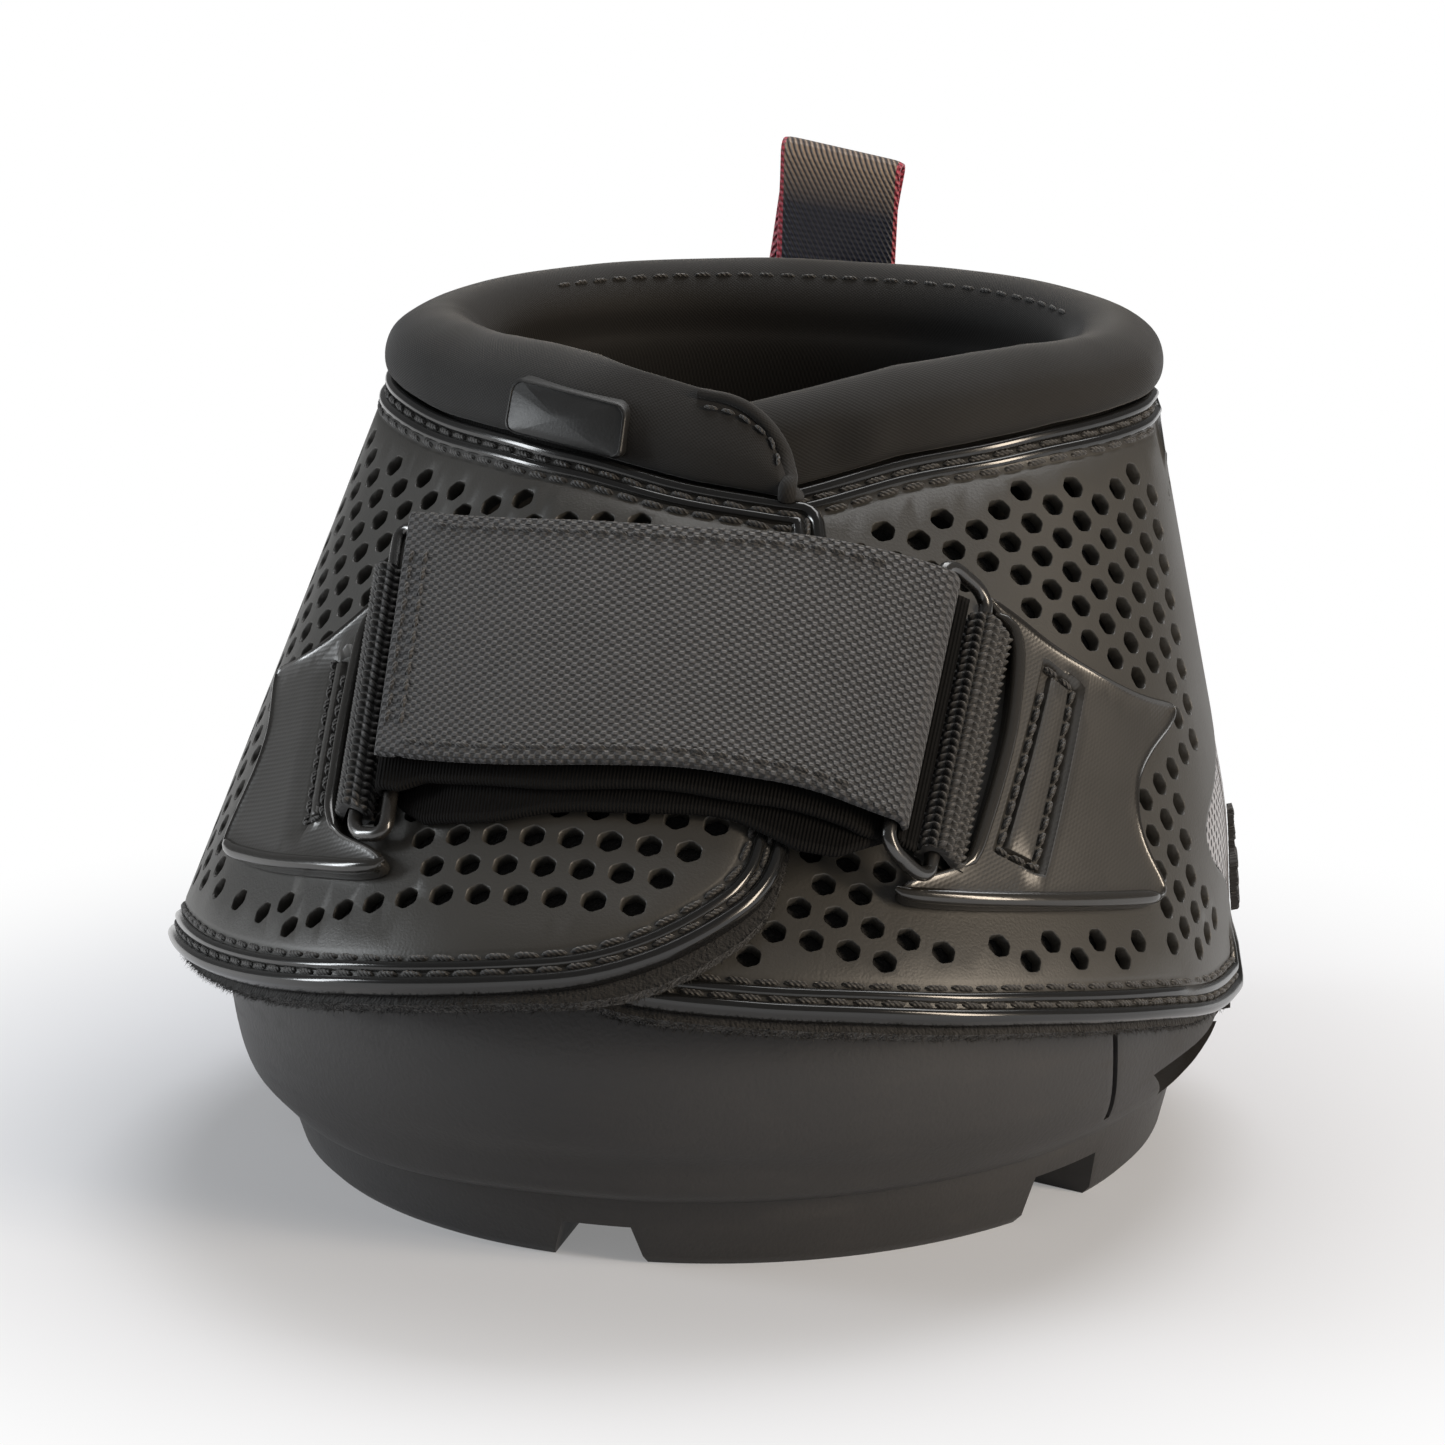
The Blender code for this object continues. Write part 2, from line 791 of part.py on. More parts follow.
def hexagonal_holes(outline, row_shares, rise, lowest_row, covers):
    """Holes over a flap, inside its outline. Each cover is an outline that they keep out
    of and a margin round it."""
    angles = [angle for angle, _ in outline]
    rulings = flat_rulings(min(angles), max(angles))
    border = [lay_flat(rulings, a, h) for a, h in outline]
    flat_covers = [([lay_flat(rulings, a, h) for a, h in cover], margin)
                   for cover, margin in covers]
    start, end = (lay_flat(rulings, a, share * rim_height) for a, share in row_shares)
    along = (end - start).normalized() * hole_pitch
    up = Vector((-along.y, along.x)).normalized() * rise
    radius = hole_width / math.sqrt(3)
    reach = math.ceil((low_half_width + low_toe) / hole_pitch)
    holes = []
    for row in range(lowest_row, reach + 1):
        for column in range(-reach, reach + 1):
            middle = start + along * (column + (row % 2) / 2) + up * row
            if not inside(middle, border) or not is_clear(middle, border, hole_margin):
                continue
            if any(inside(middle, cover) or not is_clear(middle, cover, margin)
                   for cover, margin in flat_covers):
                continue
            laid = lay_back(rulings, middle)
            if laid is None or abs(laid[0]) > hole_rear_angle:
                continue
            corners = []
            for turn in range(30, 390, 60):
                across = along.normalized() * math.cos(math.radians(turn))
                rising = up.normalized() * math.sin(math.radians(turn))
                corners.append(lay_back(rulings, middle + (across + rising) * radius))
            holes.append([(a, h, 0.0) for a, h in corners])
    return holes


def make_panel(name, shares, lift, holes, material):
    """A flap's moulded panel with two beads along its free edges."""
    path = flap_path(shares)
    edge = path[0][0]
    rows = []
    for middle in (first_bead_inset, second_bead_inset):
        if rows:
            rows.append((middle - bead_half_width, 0.0))
        rows.append((middle, bead_lift))
        rows.append((middle + bead_half_width, 0.0))
    lines = []
    for distance, raised in rows:
        run = [(a, h, raised) for a, h in inset(path, distance, False, edge)]
        lines.append((run, False))
    outline = [(a, h, 0.0) for a, h in path]
    outline += [run[-1] for run, _ in lines] + [run[0] for run, _ in reversed(lines)]
    return sheet_object(
        name, outline, lines,
        lambda p: upper(p[0], p[1], lift(p[0]) + p[2]),
        lambda p: upper(p[0], p[1], lift(p[0]) - panel_thickness),
        material,
        hexagonal_holes(path, *holes),
    )


def make_lining(name, shares, lift, material):
    """Felt behind a flap: it shows below the flap's edge and ends under the collar."""
    tuck = roll_tuck + clearance
    path = []
    for angle, height in flap_path(shares):
        middle = (low_height + rim_height) / 2
        is_top = height > middle and abs(height - panel_top(shares, angle)) < lining_show
        if is_top:
            path.append((angle, height - tuck))
        elif height < middle:
            path.append((angle, height - lining_show))
        else:
            path.append((angle, min(height, panel_top(shares, angle) - tuck)))
    outline = [(a, h, 0.0) for a, h in path]
    return sheet_object(
        name, outline, [],
        lambda p: upper(p[0], p[1], lift(p[0]) - panel_thickness - clearance),
        lambda p: upper(p[0], p[1], lift(p[0]) - panel_thickness - clearance - lining_thickness),
        material,
    )


def panel_top(shares, angle):
    """Height of a flap's top edge at an angle."""
    top = [(a, share) for a, share in shares if share > top_edge_share]
    top.sort()
    if angle <= top[0][0]:
        return top[0][1] * rim_height
    for (a1, s1), (a2, s2) in zip(top, top[1:]):
        if angle <= a2:
            return mix(s1, s2, (angle - a1) / (a2 - a1)) * rim_height
    return top[-1][1] * rim_height


def heel_angles(step):
    start = hinge_angle + hinge_gap_angle()
    end = 360 - start
    count = round((end - start) / step)
    return [mix(start, end, i / count) for i in range(count + 1)]


# Collar

def roll_frame(angle, edge_height, lift):
    """Root, outward and upward directions of the roll at an angle, and the panel's lean."""
    normal = shell_normal(angle, edge_height)
    flat = Vector((normal.x, normal.y, 0))
    lean = flat.length
    rising = slopes(angle, edge_height)[1].normalized()
    upward = (rising + Vector((0, 0, 1))).normalized()
    return upper(angle, edge_height, lift), flat.normalized(), upward, lean


def roll_height(angle):
    turned = abs((angle + 180) % 360 - 180)
    share = ease((turned - roll_front_angle) / (roll_side_angle - roll_front_angle))
    return mix(roll_front_height, roll_heel_height, share)


def roll_ring(angle, edge_height, lift, tuck, depth_share, bulge_share, size_share):
    root, outward, upward, lean = roll_frame(angle, edge_height, lift)
    back = (panel_thickness + clearance) / lean + clearance
    profile = [(-back, -tuck), (-back, clearance + bead_lift)]
    for across, along in roll_profile_shares:
        if across > 0:
            across *= bulge_share
        depth = roll_depth * depth_share if across < 0 else roll_depth
        place = across * depth
        if across < 0:
            place = min(place, -back * (1 if along < 0 else 0))
        profile.append((place, along * roll_height(angle)))
    profile.append((profile[-1][0] + clearance, -tuck))
    middle = Vector((sum(p[0] for p in profile), sum(p[1] for p in profile))) / len(profile)
    ring = []
    for point in profile:
        shaped = middle + (Vector(point) - middle) * size_share
        ring.append(root + outward * shaped.x + upward * shaped.y)
    return ring


def spread(start, end, step):
    count = max(1, round(abs(end - start) / step))
    return [mix(start, end, i / count) for i in range(count + 1)]


def make_left_collar(material):
    start = -hinge_angle + hinge_gap_angle()
    rings = []
    for angle in spread(start, left_roll_front, roll_angle):
        thin = ease((angle - left_roll_thin_start) / (left_roll_thin_end - left_roll_thin_start))
        depth_share = mix(1.0, left_roll_thin_share, thin)
        height = panel_top(left_flap_shares, angle)
        tuck = mix(roll_tuck, left_roll_thin_tuck, thin)
        rings.append(roll_ring(angle, height, flap_lift(angle), tuck, depth_share, 1.0, 1.0))
    end = left_roll_front + roll_end_angle
    height = panel_top(left_flap_shares, end)
    rings.append(roll_ring(end, height, flap_lift(end), left_roll_thin_tuck,
                           left_roll_thin_share, 1.0, roll_end_share))
    return loft_object("left_collar", rings, material)


def make_right_collar(material):
    start = hinge_angle - hinge_gap_angle()
    rings = []
    for angle in spread(start, right_roll_front, roll_angle):
        bulge = ease((angle - right_roll_bulge_end) / (right_roll_bulge_start - right_roll_bulge_end))
        height = panel_top(right_flap_shares, angle)
        rings.append(roll_ring(angle, height, 0.0, roll_tuck, 1.0, bulge, 1.0))
    end = right_roll_front - roll_end_angle
    height = panel_top(right_flap_shares, end)
    rings.append(roll_ring(end, height, 0.0, roll_tuck, 1.0, 0.0, roll_end_share))
    return loft_object("right_collar", rings, material)


def make_back_collar(material):
    height = heel_top_share * rim_height
    left_height = panel_top(left_flap_shares, -hinge_angle)
    rings = []
    for angle in heel_angles(roll_angle):
        toward_left = ease((angle - 180) / (180 - hinge_angle))
        lift = mix(0.0, flap_lift(-hinge_angle), toward_left)
        edge = mix(height, left_height, toward_left)
        rings.append(roll_ring(angle, edge, lift, roll_tuck, 1.0, 1.0, 1.0))
    return loft_object("back_collar", rings, material)


def roll_face(angle, along):
    """Outward reach of the roll's outer face at a distance up the roll."""
    rows = [(s, a) for a, s in roll_profile_shares[:5]]
    return table(rows, along / roll_height(angle)) * roll_depth


def make_badge(material):
    def place(point, lift):
        angle, along = point[0], point[1]
        height = panel_top(left_flap_shares, angle)
        root, outward, upward, _ = roll_frame(angle, height, flap_lift(angle))
        return root + outward * (roll_face(angle, along) + lift) + upward * along

    outline = []
    low, high = badge_low, badge_high
    start, end = badge_angles
    round_angle = (end - start) * badge_corner_share / 2
    round_up = (high - low) * badge_corner_rise_share
    corners = ((end, low, -90), (end, high, 0), (start, high, 90), (start, low, 180))
    for angle, along, turn in corners:
        centre_angle = angle - math.copysign(round_angle, angle - (start + end) / 2)
        centre_along = along - math.copysign(round_up, along - (low + high) / 2)
        for x, y in arc((0, 0), 1.0, turn, turn + 90, 2):
            outline.append((centre_angle + x * round_angle, centre_along + y * round_up, 0.0))
    rows = spread(low, high, (high - low) / badge_rows)[1:-1]
    columns = spread(start, end, (end - start) / badge_columns)[1:-1]
    lines = [([(a, row, 0.0) for a in columns], False) for row in rows]
    return sheet_object(
        "badge_plate", outline, lines,
        lambda p: place(p, badge_gap + badge_thickness),
        lambda p: place(p, badge_gap),
        material,
    )


# Anchor plates

def make_plate(name, shares, slot_shares, lift, material):
    outline = curve_through(lengths(shares + shares[:1]), plate_spacing)[:-1]
    if signed_area(outline) < 0:
        outline.reverse()
    lines = []
    for distance, raised in ((plate_rim_inset, plate_rim_lift), (plate_rim_width, 0.0)):
        run = [(a, h, raised) for a, h in inset(outline, distance, True)]
        lines.append((run, True))
    slot = lengths(slot_shares)
    if signed_area(slot) < 0:
        slot.reverse()
    lines.append(([(a, h, 0.0) for a, h in slot], True))
    lines.append(([(a, h, -slot_recess) for a, h in inset(slot, slot_rim, True)], True))
    rim = [(a, h, plate_rim_lift / 2) for a, h in outline]
    return sheet_object(
        name, rim, lines,
        lambda p: upper(p[0], p[1], lift(p[0]) + clearance + plate_thickness + p[2]),
        lambda p: upper(p[0], p[1], lift(p[0]) + clearance),
        material,
    )


def signed_area(points):
    flat = [flatten(point) for point in points]
    pairs = zip(flat, flat[1:] + flat[:1])
    return sum(a.x * b.y - b.x * a.y for a, b in pairs) / 2


# Strap, rings and elastics

def strap_point(along, across, lift):
    """along in metres from the strap's left end, across from 0 at the low edge to 1."""
    share = along / strap_length
    low_angle = mix(*strap_bottom_angles, share)
    high_angle = mix(*strap_top_angles, share)
    low = table(strap_bottom_shares, share) * rim_height
    high = table(strap_top_shares, share) * rim_height
    bottom = upper(low_angle, low, flap_overlap_lift + lift)
    top = upper(high_angle, high, flap_overlap_lift + lift)
    return bottom.lerp(top, across)


def strap_outline():
    """Outline on the shell of all that the strap and its rings cover."""
    low = [(mix(*strap_bottom_angles, share), height * rim_height)
           for share, height in strap_bottom_shares]
    high = [(mix(*strap_top_angles, share), height * rim_height)
            for share, height in strap_top_shares]
    left = [(angle - strap_cover_angle, height) for angle, height in (low[0], high[0])]
    right = [(angle + strap_cover_angle, height) for angle, height in (low[-1], high[-1])]
    return left[:1] + low + right + high[::-1] + left[1:]


def loop_radius():
    return wire_radius + loop_clearance + strap_thickness / 2


def right_front_bar():
    place = strap_length - loop_radius() - strap_thickness / 2
    return place, tail_lift - loop_radius()


def strap_strip(name, path, thickness, low, high, rows, material):
    profile = ribbon(path, thickness)
    rings = []
    for row in range(rows + 1):
        across = mix(low, high, row / rows)
        rings.append([strap_point(p[0], across, p[1]) for p in profile])
    return loft_object(name, rings, material)


def steps_between(start, end, step):
    count = max(1, round(math.dist(start, end) / step))
    return [
        (mix(start[0], end[0], i / count), mix(start[1], end[1], i / count))
        for i in range(count)
    ]


def band_path():
    bar = (left_bar_place, left_front_bar_lift)
    fold, fold_lift = right_front_bar()
    radius = loop_radius()
    step = outline_spacing
    dip = (bar[0] + strap_dip, return_lift)
    path = steps_between((return_place, return_lift), dip, step)
    path += steps_between(dip, (bar[0], bar[1] - radius), step)
    path += arc(bar, radius, 270, 90, arc_steps)
    last = (fold - strap_slack, main_lift)
    path += steps_between((bar[0] + strap_slack, main_lift), last, step) + [last]
    path += arc((fold, fold_lift), radius, -90, 90, arc_steps)
    return path


def tail_path():
    fold = right_front_bar()[0] - clearance
    bend = (tail_bend_place, tail_lift)
    path = steps_between((fold, tail_lift), bend, outline_spacing)
    path += [bend, (tail_rise_place, tail_end_lift), (tail_end_place, tail_end_lift)]
    return path


def make_hook_pad(material):
    """Hook tape under the strap's free end, between the tail and the layer below it."""
    lift = (tail_lift + main_lift) / 2
    end = (hook_pad_place + hook_pad_length, lift)
    path = steps_between((hook_pad_place, lift), end, outline_spacing) + [end]
    low = hook_pad_margin_share
    return strap_strip("hook_pad", path, hook_pad_thickness, low, 1 - low, 1, material)


def make_ring(name, front, rear, material):
    """front and rear are the (along, lift) places of the two long sides."""
    low, high = -ring_end_share, 1 + ring_end_share
    corner_along = (front[0] - rear[0]) * ring_corner_width_share
    corners = (
        (front[0], low, -90), (front[0], high, 0), (rear[0], high, 90), (rear[0], low, 180),
    )
    path = []
    middle = (front[0] + rear[0]) / 2
    for along, across, turn in corners:
        centre_along = along - math.copysign(corner_along, along - middle)
        centre_across = across - math.copysign(ring_corner_share, across - 0.5)
        for x, y in arc((0, 0), 1.0, turn, turn + 90, ring_corner_steps):
            share = (centre_along + x * corner_along - rear[0]) / (front[0] - rear[0])
            height = centre_across + y * ring_corner_share
            path.append(strap_point_straight(front, rear, share, height))
    rings = []
    count = len(path)
    face = (path[0] - path[count // 2]).cross(path[count // 4] - path[3 * count // 4]).normalized()
    for i, point in enumerate(path):
        tangent = (path[(i + 1) % count] - path[i - 1]).normalized()
        side = tangent.cross(face).normalized()
        up = side.cross(tangent)
        ring = []
        for k in range(wire_sides):
            turn = 2 * math.pi * k / wire_sides
            ring.append(point + (side * math.cos(turn) + up * math.sin(turn)) * wire_radius)
        rings.append(ring)
    return loft_object(name, rings, material, closed=True)


def strap_point_straight(front, rear, share, across):
    """Point of a ring's plane between its two straight long sides."""
    start = strap_point(rear[0], across, rear[1])
    end = strap_point(front[0], across, front[1])
    return start.lerp(end, share)


def wrap(centre, radius, high, low, direction):
    """A taut line from one end point round a circle to another. The end points give a
    distance along and a lift."""
    reach = abs(high[0])
    turns = []
    for lift, sign in ((high[1], 1), (low[1], -1)):
        rise = lift - centre[1]
        bearing = math.atan2(rise, reach)
        turns.append(math.degrees(bearing + sign * math.acos(radius / math.hypot(reach, rise))))
    points = arc((0, 0), radius, turns[0], turns[1] + 360, arc_steps)
    points = [(reach, high[1] - centre[1])] + points + [(reach, low[1] - centre[1])]
    return [(centre[0] + direction * x, centre[1] + y) for x, y in points]


def make_elastic(name, bar, length, direction, lift, material):
    """Webbing round a ring's rear side. direction is +1 where the plate lies to the right."""
    inner = wire_radius + loop_clearance
    outer = inner + elastic_thickness
    rings = []
    for row in range(elastic_rows + 1):
        share = row / elastic_rows
        across = mix(elastic_low_share, elastic_high_share, share)
        reach = bar[0] + direction * (length - elastic_top_shortening * share)
        angle = mix(mix(*strap_bottom_angles, reach / strap_length),
                    mix(*strap_top_angles, reach / strap_length), across)
        floor = lift(angle) - flap_overlap_lift + clearance * 2
        ceiling = floor + elastic_thickness * 2 + clearance
        end = reach - bar[0]
        profile = wrap(bar, outer, (end, ceiling), (end, floor), direction)
        profile += wrap(bar, inner, (end, ceiling - elastic_thickness),
                        (end, floor + elastic_thickness), direction)[::-1]
        rings.append([strap_point(p[0], across, p[1]) for p in profile])
    return loft_object(name, rings, material)


# Heel tape and pull tab

def make_tape(material):
    angles = spread(180 - tape_half_angle, 180 + tape_half_angle, tape_half_angle)
    low = heel_bottom_share * rim_height + clearance
    high = heel_top_share * rim_height - clearance
    outline = [(angle, low, 0.0) for angle in angles]
    outline += [(angle, high, 0.0) for angle in reversed(angles)]
    lift = heel_lift(180) + clearance
    return sheet_object(
        "heel_tape", outline, [],
        lambda p: upper(p[0], p[1], lift + tape_thickness),
        lambda p: upper(p[0], p[1], lift),
        material,
    )


def tab_place():
    """Y of the tab's front face: clear of the collar's bulge and of the heel tape."""
    edge = heel_top_share * rim_height
    return roll_bulge(180, edge, heel_lift(180)).y


def make_pull_tab(material):
    """A tape folded a little askew: its fold slopes and its back leg ends to the left."""
    front = tab_place() + tab_thickness / 2
    radius = (tab_gap + tab_thickness) / 2
    back = front + radius * 2
    base = rim_height - tab_tuck
    rings = []
    for side in (-1, 1):
        crown = rim_height + tab_rise - radius - tab_slant * (side + 1) / 2
        path = [(front, base), (front, crown)]
        path += arc((front + radius, crown), radius, 180, 0, arc_steps)[1:]
        path += [(back, base)]
        ring = []
        for y, z in ribbon(path, tab_thickness):
            risen = (z - base) / (crown - base)
            leg = (y - front) / (back - front)
            x = side * tab_width / 2 - tab_shift + tab_lean * risen
            ring.append(Vector((x - tab_spread * leg * (1 - risen), y, z)))
        rings.append(ring)
    return loft_object("pull_tab", rings, material)


def heel_lift(angle):
    """Lift of the heel pieces: level with each flap at its hinge."""
    turned = angle % 360
    toward_left = ease((turned - 180) / (180 - hinge_angle))
    return mix(0.0, flap_lift(-hinge_angle), toward_left)


def roll_bulge(angle, edge, lift):
    """The roll's outermost point at an angle, with a clearance."""
    root, outward, upward, _ = roll_frame(angle, edge, lift)
    across, along = max(roll_profile_shares)
    reach = across * roll_depth + clearance
    return root + outward * reach + upward * along * roll_height(angle)


def hinge_line(side):
    """Low and high points of a flap's hinge line, outside all that turns about it."""
    lift = flap_lift(-hinge_angle) if side < 0 else 0.0
    angle = side * hinge_angle
    edge = heel_top_share * rim_height
    high = roll_bulge(angle, edge, lift)
    low = upper(angle, heel_bottom_share * rim_height, lift + bead_lift + clearance)
    return low, high


def centre_on_base(frame):
    """Move the whole boot so that the origin is the bottom centre of its bounding box."""
    bpy.context.view_layer.update()
    places = [
        thing.matrix_world @ vertex.co
        for thing in bpy.data.objects if thing.type == "MESH" and not thing.hide_render
        for vertex in thing.data.vertices
    ]
    for axis in range(2):
        values = [place[axis] for place in places]
        frame.location[axis] = -(min(values) + max(values)) / 2


def make_all():
    clear_scene()
    rubber = finish("sole_rubber", (0.030, 0.030, 0.033), 0.62)
    panel = finish("panel_rubber", (0.045, 0.042, 0.038), 0.42)
    felt = finish("lining_felt", (0.012, 0.012, 0.012), 0.95)
    foam = finish("collar_cloth", (0.018, 0.016, 0.015), 0.85)
    webbing = finish("strap_webbing", (0.016, 0.016, 0.018), 0.80)
    hook = finish("hook_tape", (0.010, 0.010, 0.010), 0.90)
    elastic = finish("elastic_webbing", (0.014, 0.013, 0.012), 0.55)
    wire = finish("ring_wire", (0.020, 0.020, 0.020), 0.30, 0.8)
    plastic = finish("plate_plastic", (0.040, 0.037, 0.034), 0.22)
    mesh = finish("heel_mesh_cloth", (0.240, 0.240, 0.250), 0.45, 0.3)
    tape = finish("tape_cloth", (0.012, 0.012, 0.012), 0.85)
    badge = finish("badge_plastic", (0.020, 0.020, 0.020), 0.35)
    tab = finish("tab_cloth", (0.010, 0.014, 0.050), 0.60)

    fold, fold_lift = right_front_bar()
    right_rear = (fold + ring_spacing, right_rear_bar_lift)
    left_front = (left_bar_place, left_front_bar_lift)
    left_rear = (left_bar_place - ring_spacing, left_rear_bar_lift)
    left_low, left_high = hinge_line(-1)
    right_low, right_high = hinge_line(1)

    frame = body("boot_frame", (0, 0, 0))
    root = body("boot_base", (0, 0, 0))
    left_flap = body("left_flap", left_low)
    right_flap = body("right_flap", right_low)
    strap_body = body("strap_body", strap_point(left_rear[0], 0, left_rear[1]))
    tail_body = body("strap_tail_body", strap_point(fold, 0, fold_lift))
    ring_body = body("right_ring_body", strap_point(right_rear[0], 0, right_rear[1]))
    tab_back = tab_place() + tab_gap + tab_thickness * 2
    tab_body = body("pull_tab_body", (0, tab_back, rim_height - tab_tuck))
    for part in (root, left_flap, right_flap, strap_body, tail_body, ring_body, tab_body):
        part.parent = frame

    for piece in (make_sole(rubber), make_sole_wall(rubber)):
        carry(piece, root)
        for modifier in piece.modifiers:
            modifier.object.parent = frame
    under = heel_top_share * rim_height - roll_tuck - clearance * 2
    outer = -panel_thickness - clearance
    heel = heel_angles(roll_angle)
    for name, low_share, high, top_lift, thickness, material in (
        ("heel_mesh", heel_bottom_share, heel_top_share * rim_height, 0.0, panel_thickness, mesh),
        ("heel_lining", heel_bottom_share - lining_show / rim_height, under, outer,
         lining_thickness, felt),
    ):
        outline = [(angle, low_share * rim_height, 0.0) for angle in heel]
        outline += [(angle, high, 0.0) for angle in reversed(heel)]
        carry(sheet_object(
            name, outline, [],
            lambda p, raised=top_lift: upper(p[0], p[1], heel_lift(p[0]) + raised),
            lambda p, raised=top_lift - thickness: upper(p[0], p[1], heel_lift(p[0]) + raised),
            material,
        ), root)
    carry(make_tape(tape), root)
    carry(make_back_collar(foam), root)
    carry(make_pull_tab(tab), tab_body)

    strap_cover = (strap_outline(), hole_strap_margin)
    covers = [(lengths(left_plate_shares), hole_plate_margin), strap_cover]
    holes = (left_row_shares, left_row_rise, left_lowest_row, covers)
    carry(make_panel("left_quarter", left_flap_shares, flap_lift, holes, panel), left_flap)
    carry(make_lining("left_lining", left_flap_shares, flap_lift, felt), left_flap)
    carry(make_left_collar(foam), left_flap)
    carry(make_badge(badge), left_flap)
    carry(make_plate("left_anchor_plate", left_plate_shares, left_slot_shares, flap_lift,
                     plastic), left_flap)
    carry(make_elastic("left_elastic", left_rear, left_elastic_length, -1, flap_lift,
                       elastic), left_flap)

    covers = [(lengths(right_plate_shares), hole_plate_margin), strap_cover,
              (lengths(left_flap_shares), hole_width)]
    holes = (right_row_shares, right_row_rise, right_lowest_row, covers)
    carry(make_panel("right_quarter", right_flap_shares, no_lift, holes, panel), right_flap)
    carry(make_lining("right_lining", right_flap_shares, no_lift, felt), right_flap)
    carry(make_right_collar(foam), right_flap)
    carry(make_plate("right_anchor_plate", right_plate_shares, right_slot_shares, no_lift,
                     plastic), right_flap)
    carry(make_elastic("right_elastic", right_rear, right_elastic_length, 1, no_lift,
                       elastic), right_flap)

    carry(make_ring("left_ring", left_front, left_rear, wire), strap_body)
    carry(strap_strip("strap_band", band_path(), strap_thickness, 0, 1, band_rows, webbing),
          strap_body)
    carry(strap_strip("strap_tail", tail_path(), strap_thickness, 0, 1, band_rows, webbing),
          tail_body)
    carry(make_hook_pad(hook), tail_body)
    carry(make_ring("right_ring", (fold, fold_lift), right_rear, wire), ring_body)
    centre_on_base(frame)


def no_lift(angle):
    return 0.0


make_all()
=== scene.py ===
import math
import random

import bmesh
import bpy
import numpy as np
from mathutils import Matrix, Vector, noise
from mathutils.geometry import delaunay_2d_cdt


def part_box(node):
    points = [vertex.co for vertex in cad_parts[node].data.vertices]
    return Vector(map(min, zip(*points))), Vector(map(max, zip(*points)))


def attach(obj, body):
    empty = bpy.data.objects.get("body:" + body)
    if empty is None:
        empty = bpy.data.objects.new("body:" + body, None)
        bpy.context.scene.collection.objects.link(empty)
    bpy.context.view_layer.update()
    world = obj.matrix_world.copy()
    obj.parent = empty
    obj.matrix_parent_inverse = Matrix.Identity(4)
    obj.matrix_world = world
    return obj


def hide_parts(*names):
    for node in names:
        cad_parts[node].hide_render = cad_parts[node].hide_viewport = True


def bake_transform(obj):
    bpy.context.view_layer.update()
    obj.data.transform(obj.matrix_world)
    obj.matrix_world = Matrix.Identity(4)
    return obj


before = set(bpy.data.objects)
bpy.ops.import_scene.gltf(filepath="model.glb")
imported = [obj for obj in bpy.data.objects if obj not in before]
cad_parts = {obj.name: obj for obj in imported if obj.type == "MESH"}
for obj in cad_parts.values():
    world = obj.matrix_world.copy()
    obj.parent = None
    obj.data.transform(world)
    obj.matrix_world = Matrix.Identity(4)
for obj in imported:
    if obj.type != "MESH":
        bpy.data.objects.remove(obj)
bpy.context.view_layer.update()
random.seed(7)

# The upper: a ruled shell between a low ring and a rim ring, as in the CAD
low_height = 0.030
rim_height = 0.1035
low_half_width = 0.0753
low_toe = 0.0926
low_heel = 0.0735
low_middle = 0.0009
rim_half_width = 0.0545
rim_toe = 0.0044
rim_heel = 0.0823
rim_middle = 0.0325
heel_narrowing = 0.03
heel_squareness = 2.3
wall_heel = 0.0690

gap = 0.0003
panel_thickness = 0.0020
lining_thickness = 0.0022
flap_base_lift = 0.0010
overlap_lift = 0.0056
hinge_angle = 98
lining_show = 0.0022
roll_tuck = 0.0080

left_flap_shares = (
    (-98, 0.230), (-83, 0.264), (-69, 0.308), (-52, 0.340), (-40, 0.359), (-26, 0.376),
    (-17, 0.386), (-7, 0.400), (2, 0.414), (9, 0.437), (15, 0.470), (18.5, 0.500),
    (20, 0.540), (20.5, 0.620), (20.5, 0.780), (20, 0.860), (18, 0.892), (13, 0.900),
    (1, 0.913), (-10, 0.930), (-19, 0.941), (-28, 0.955), (-38, 0.967), (-55, 0.981),
    (-65, 0.987), (-80, 0.993), (-98, 0.995),
)
right_flap_shares = (
    (98, 0.995), (75, 0.996), (56, 0.992), (43, 0.982), (29, 0.968), (15, 0.938),
    (3, 0.915), (-5, 0.895), (-9, 0.860), (-10, 0.780), (-10, 0.620), (-9, 0.520),
    (-5, 0.460), (3, 0.426), (18, 0.408), (30, 0.394), (40, 0.377), (53, 0.351),
    (69, 0.308), (83, 0.264), (98, 0.230),
)
# Rear edge of a panel, from its lower corner up: it curves forward to show the mesh
rear_edge_shares = (
    (93, 0.241), (95.6, 0.240), (96.7, 0.252), (96.8, 0.275), (96.2, 0.310), (94.8, 0.350), (91.5, 0.395),
    (87.2, 0.428), (85.3, 0.455), (86.4, 0.474), (91.0, 0.496), (95.8, 0.530), (97.6, 0.570),
    (97.7, 0.640), (97.7, 0.920),
)
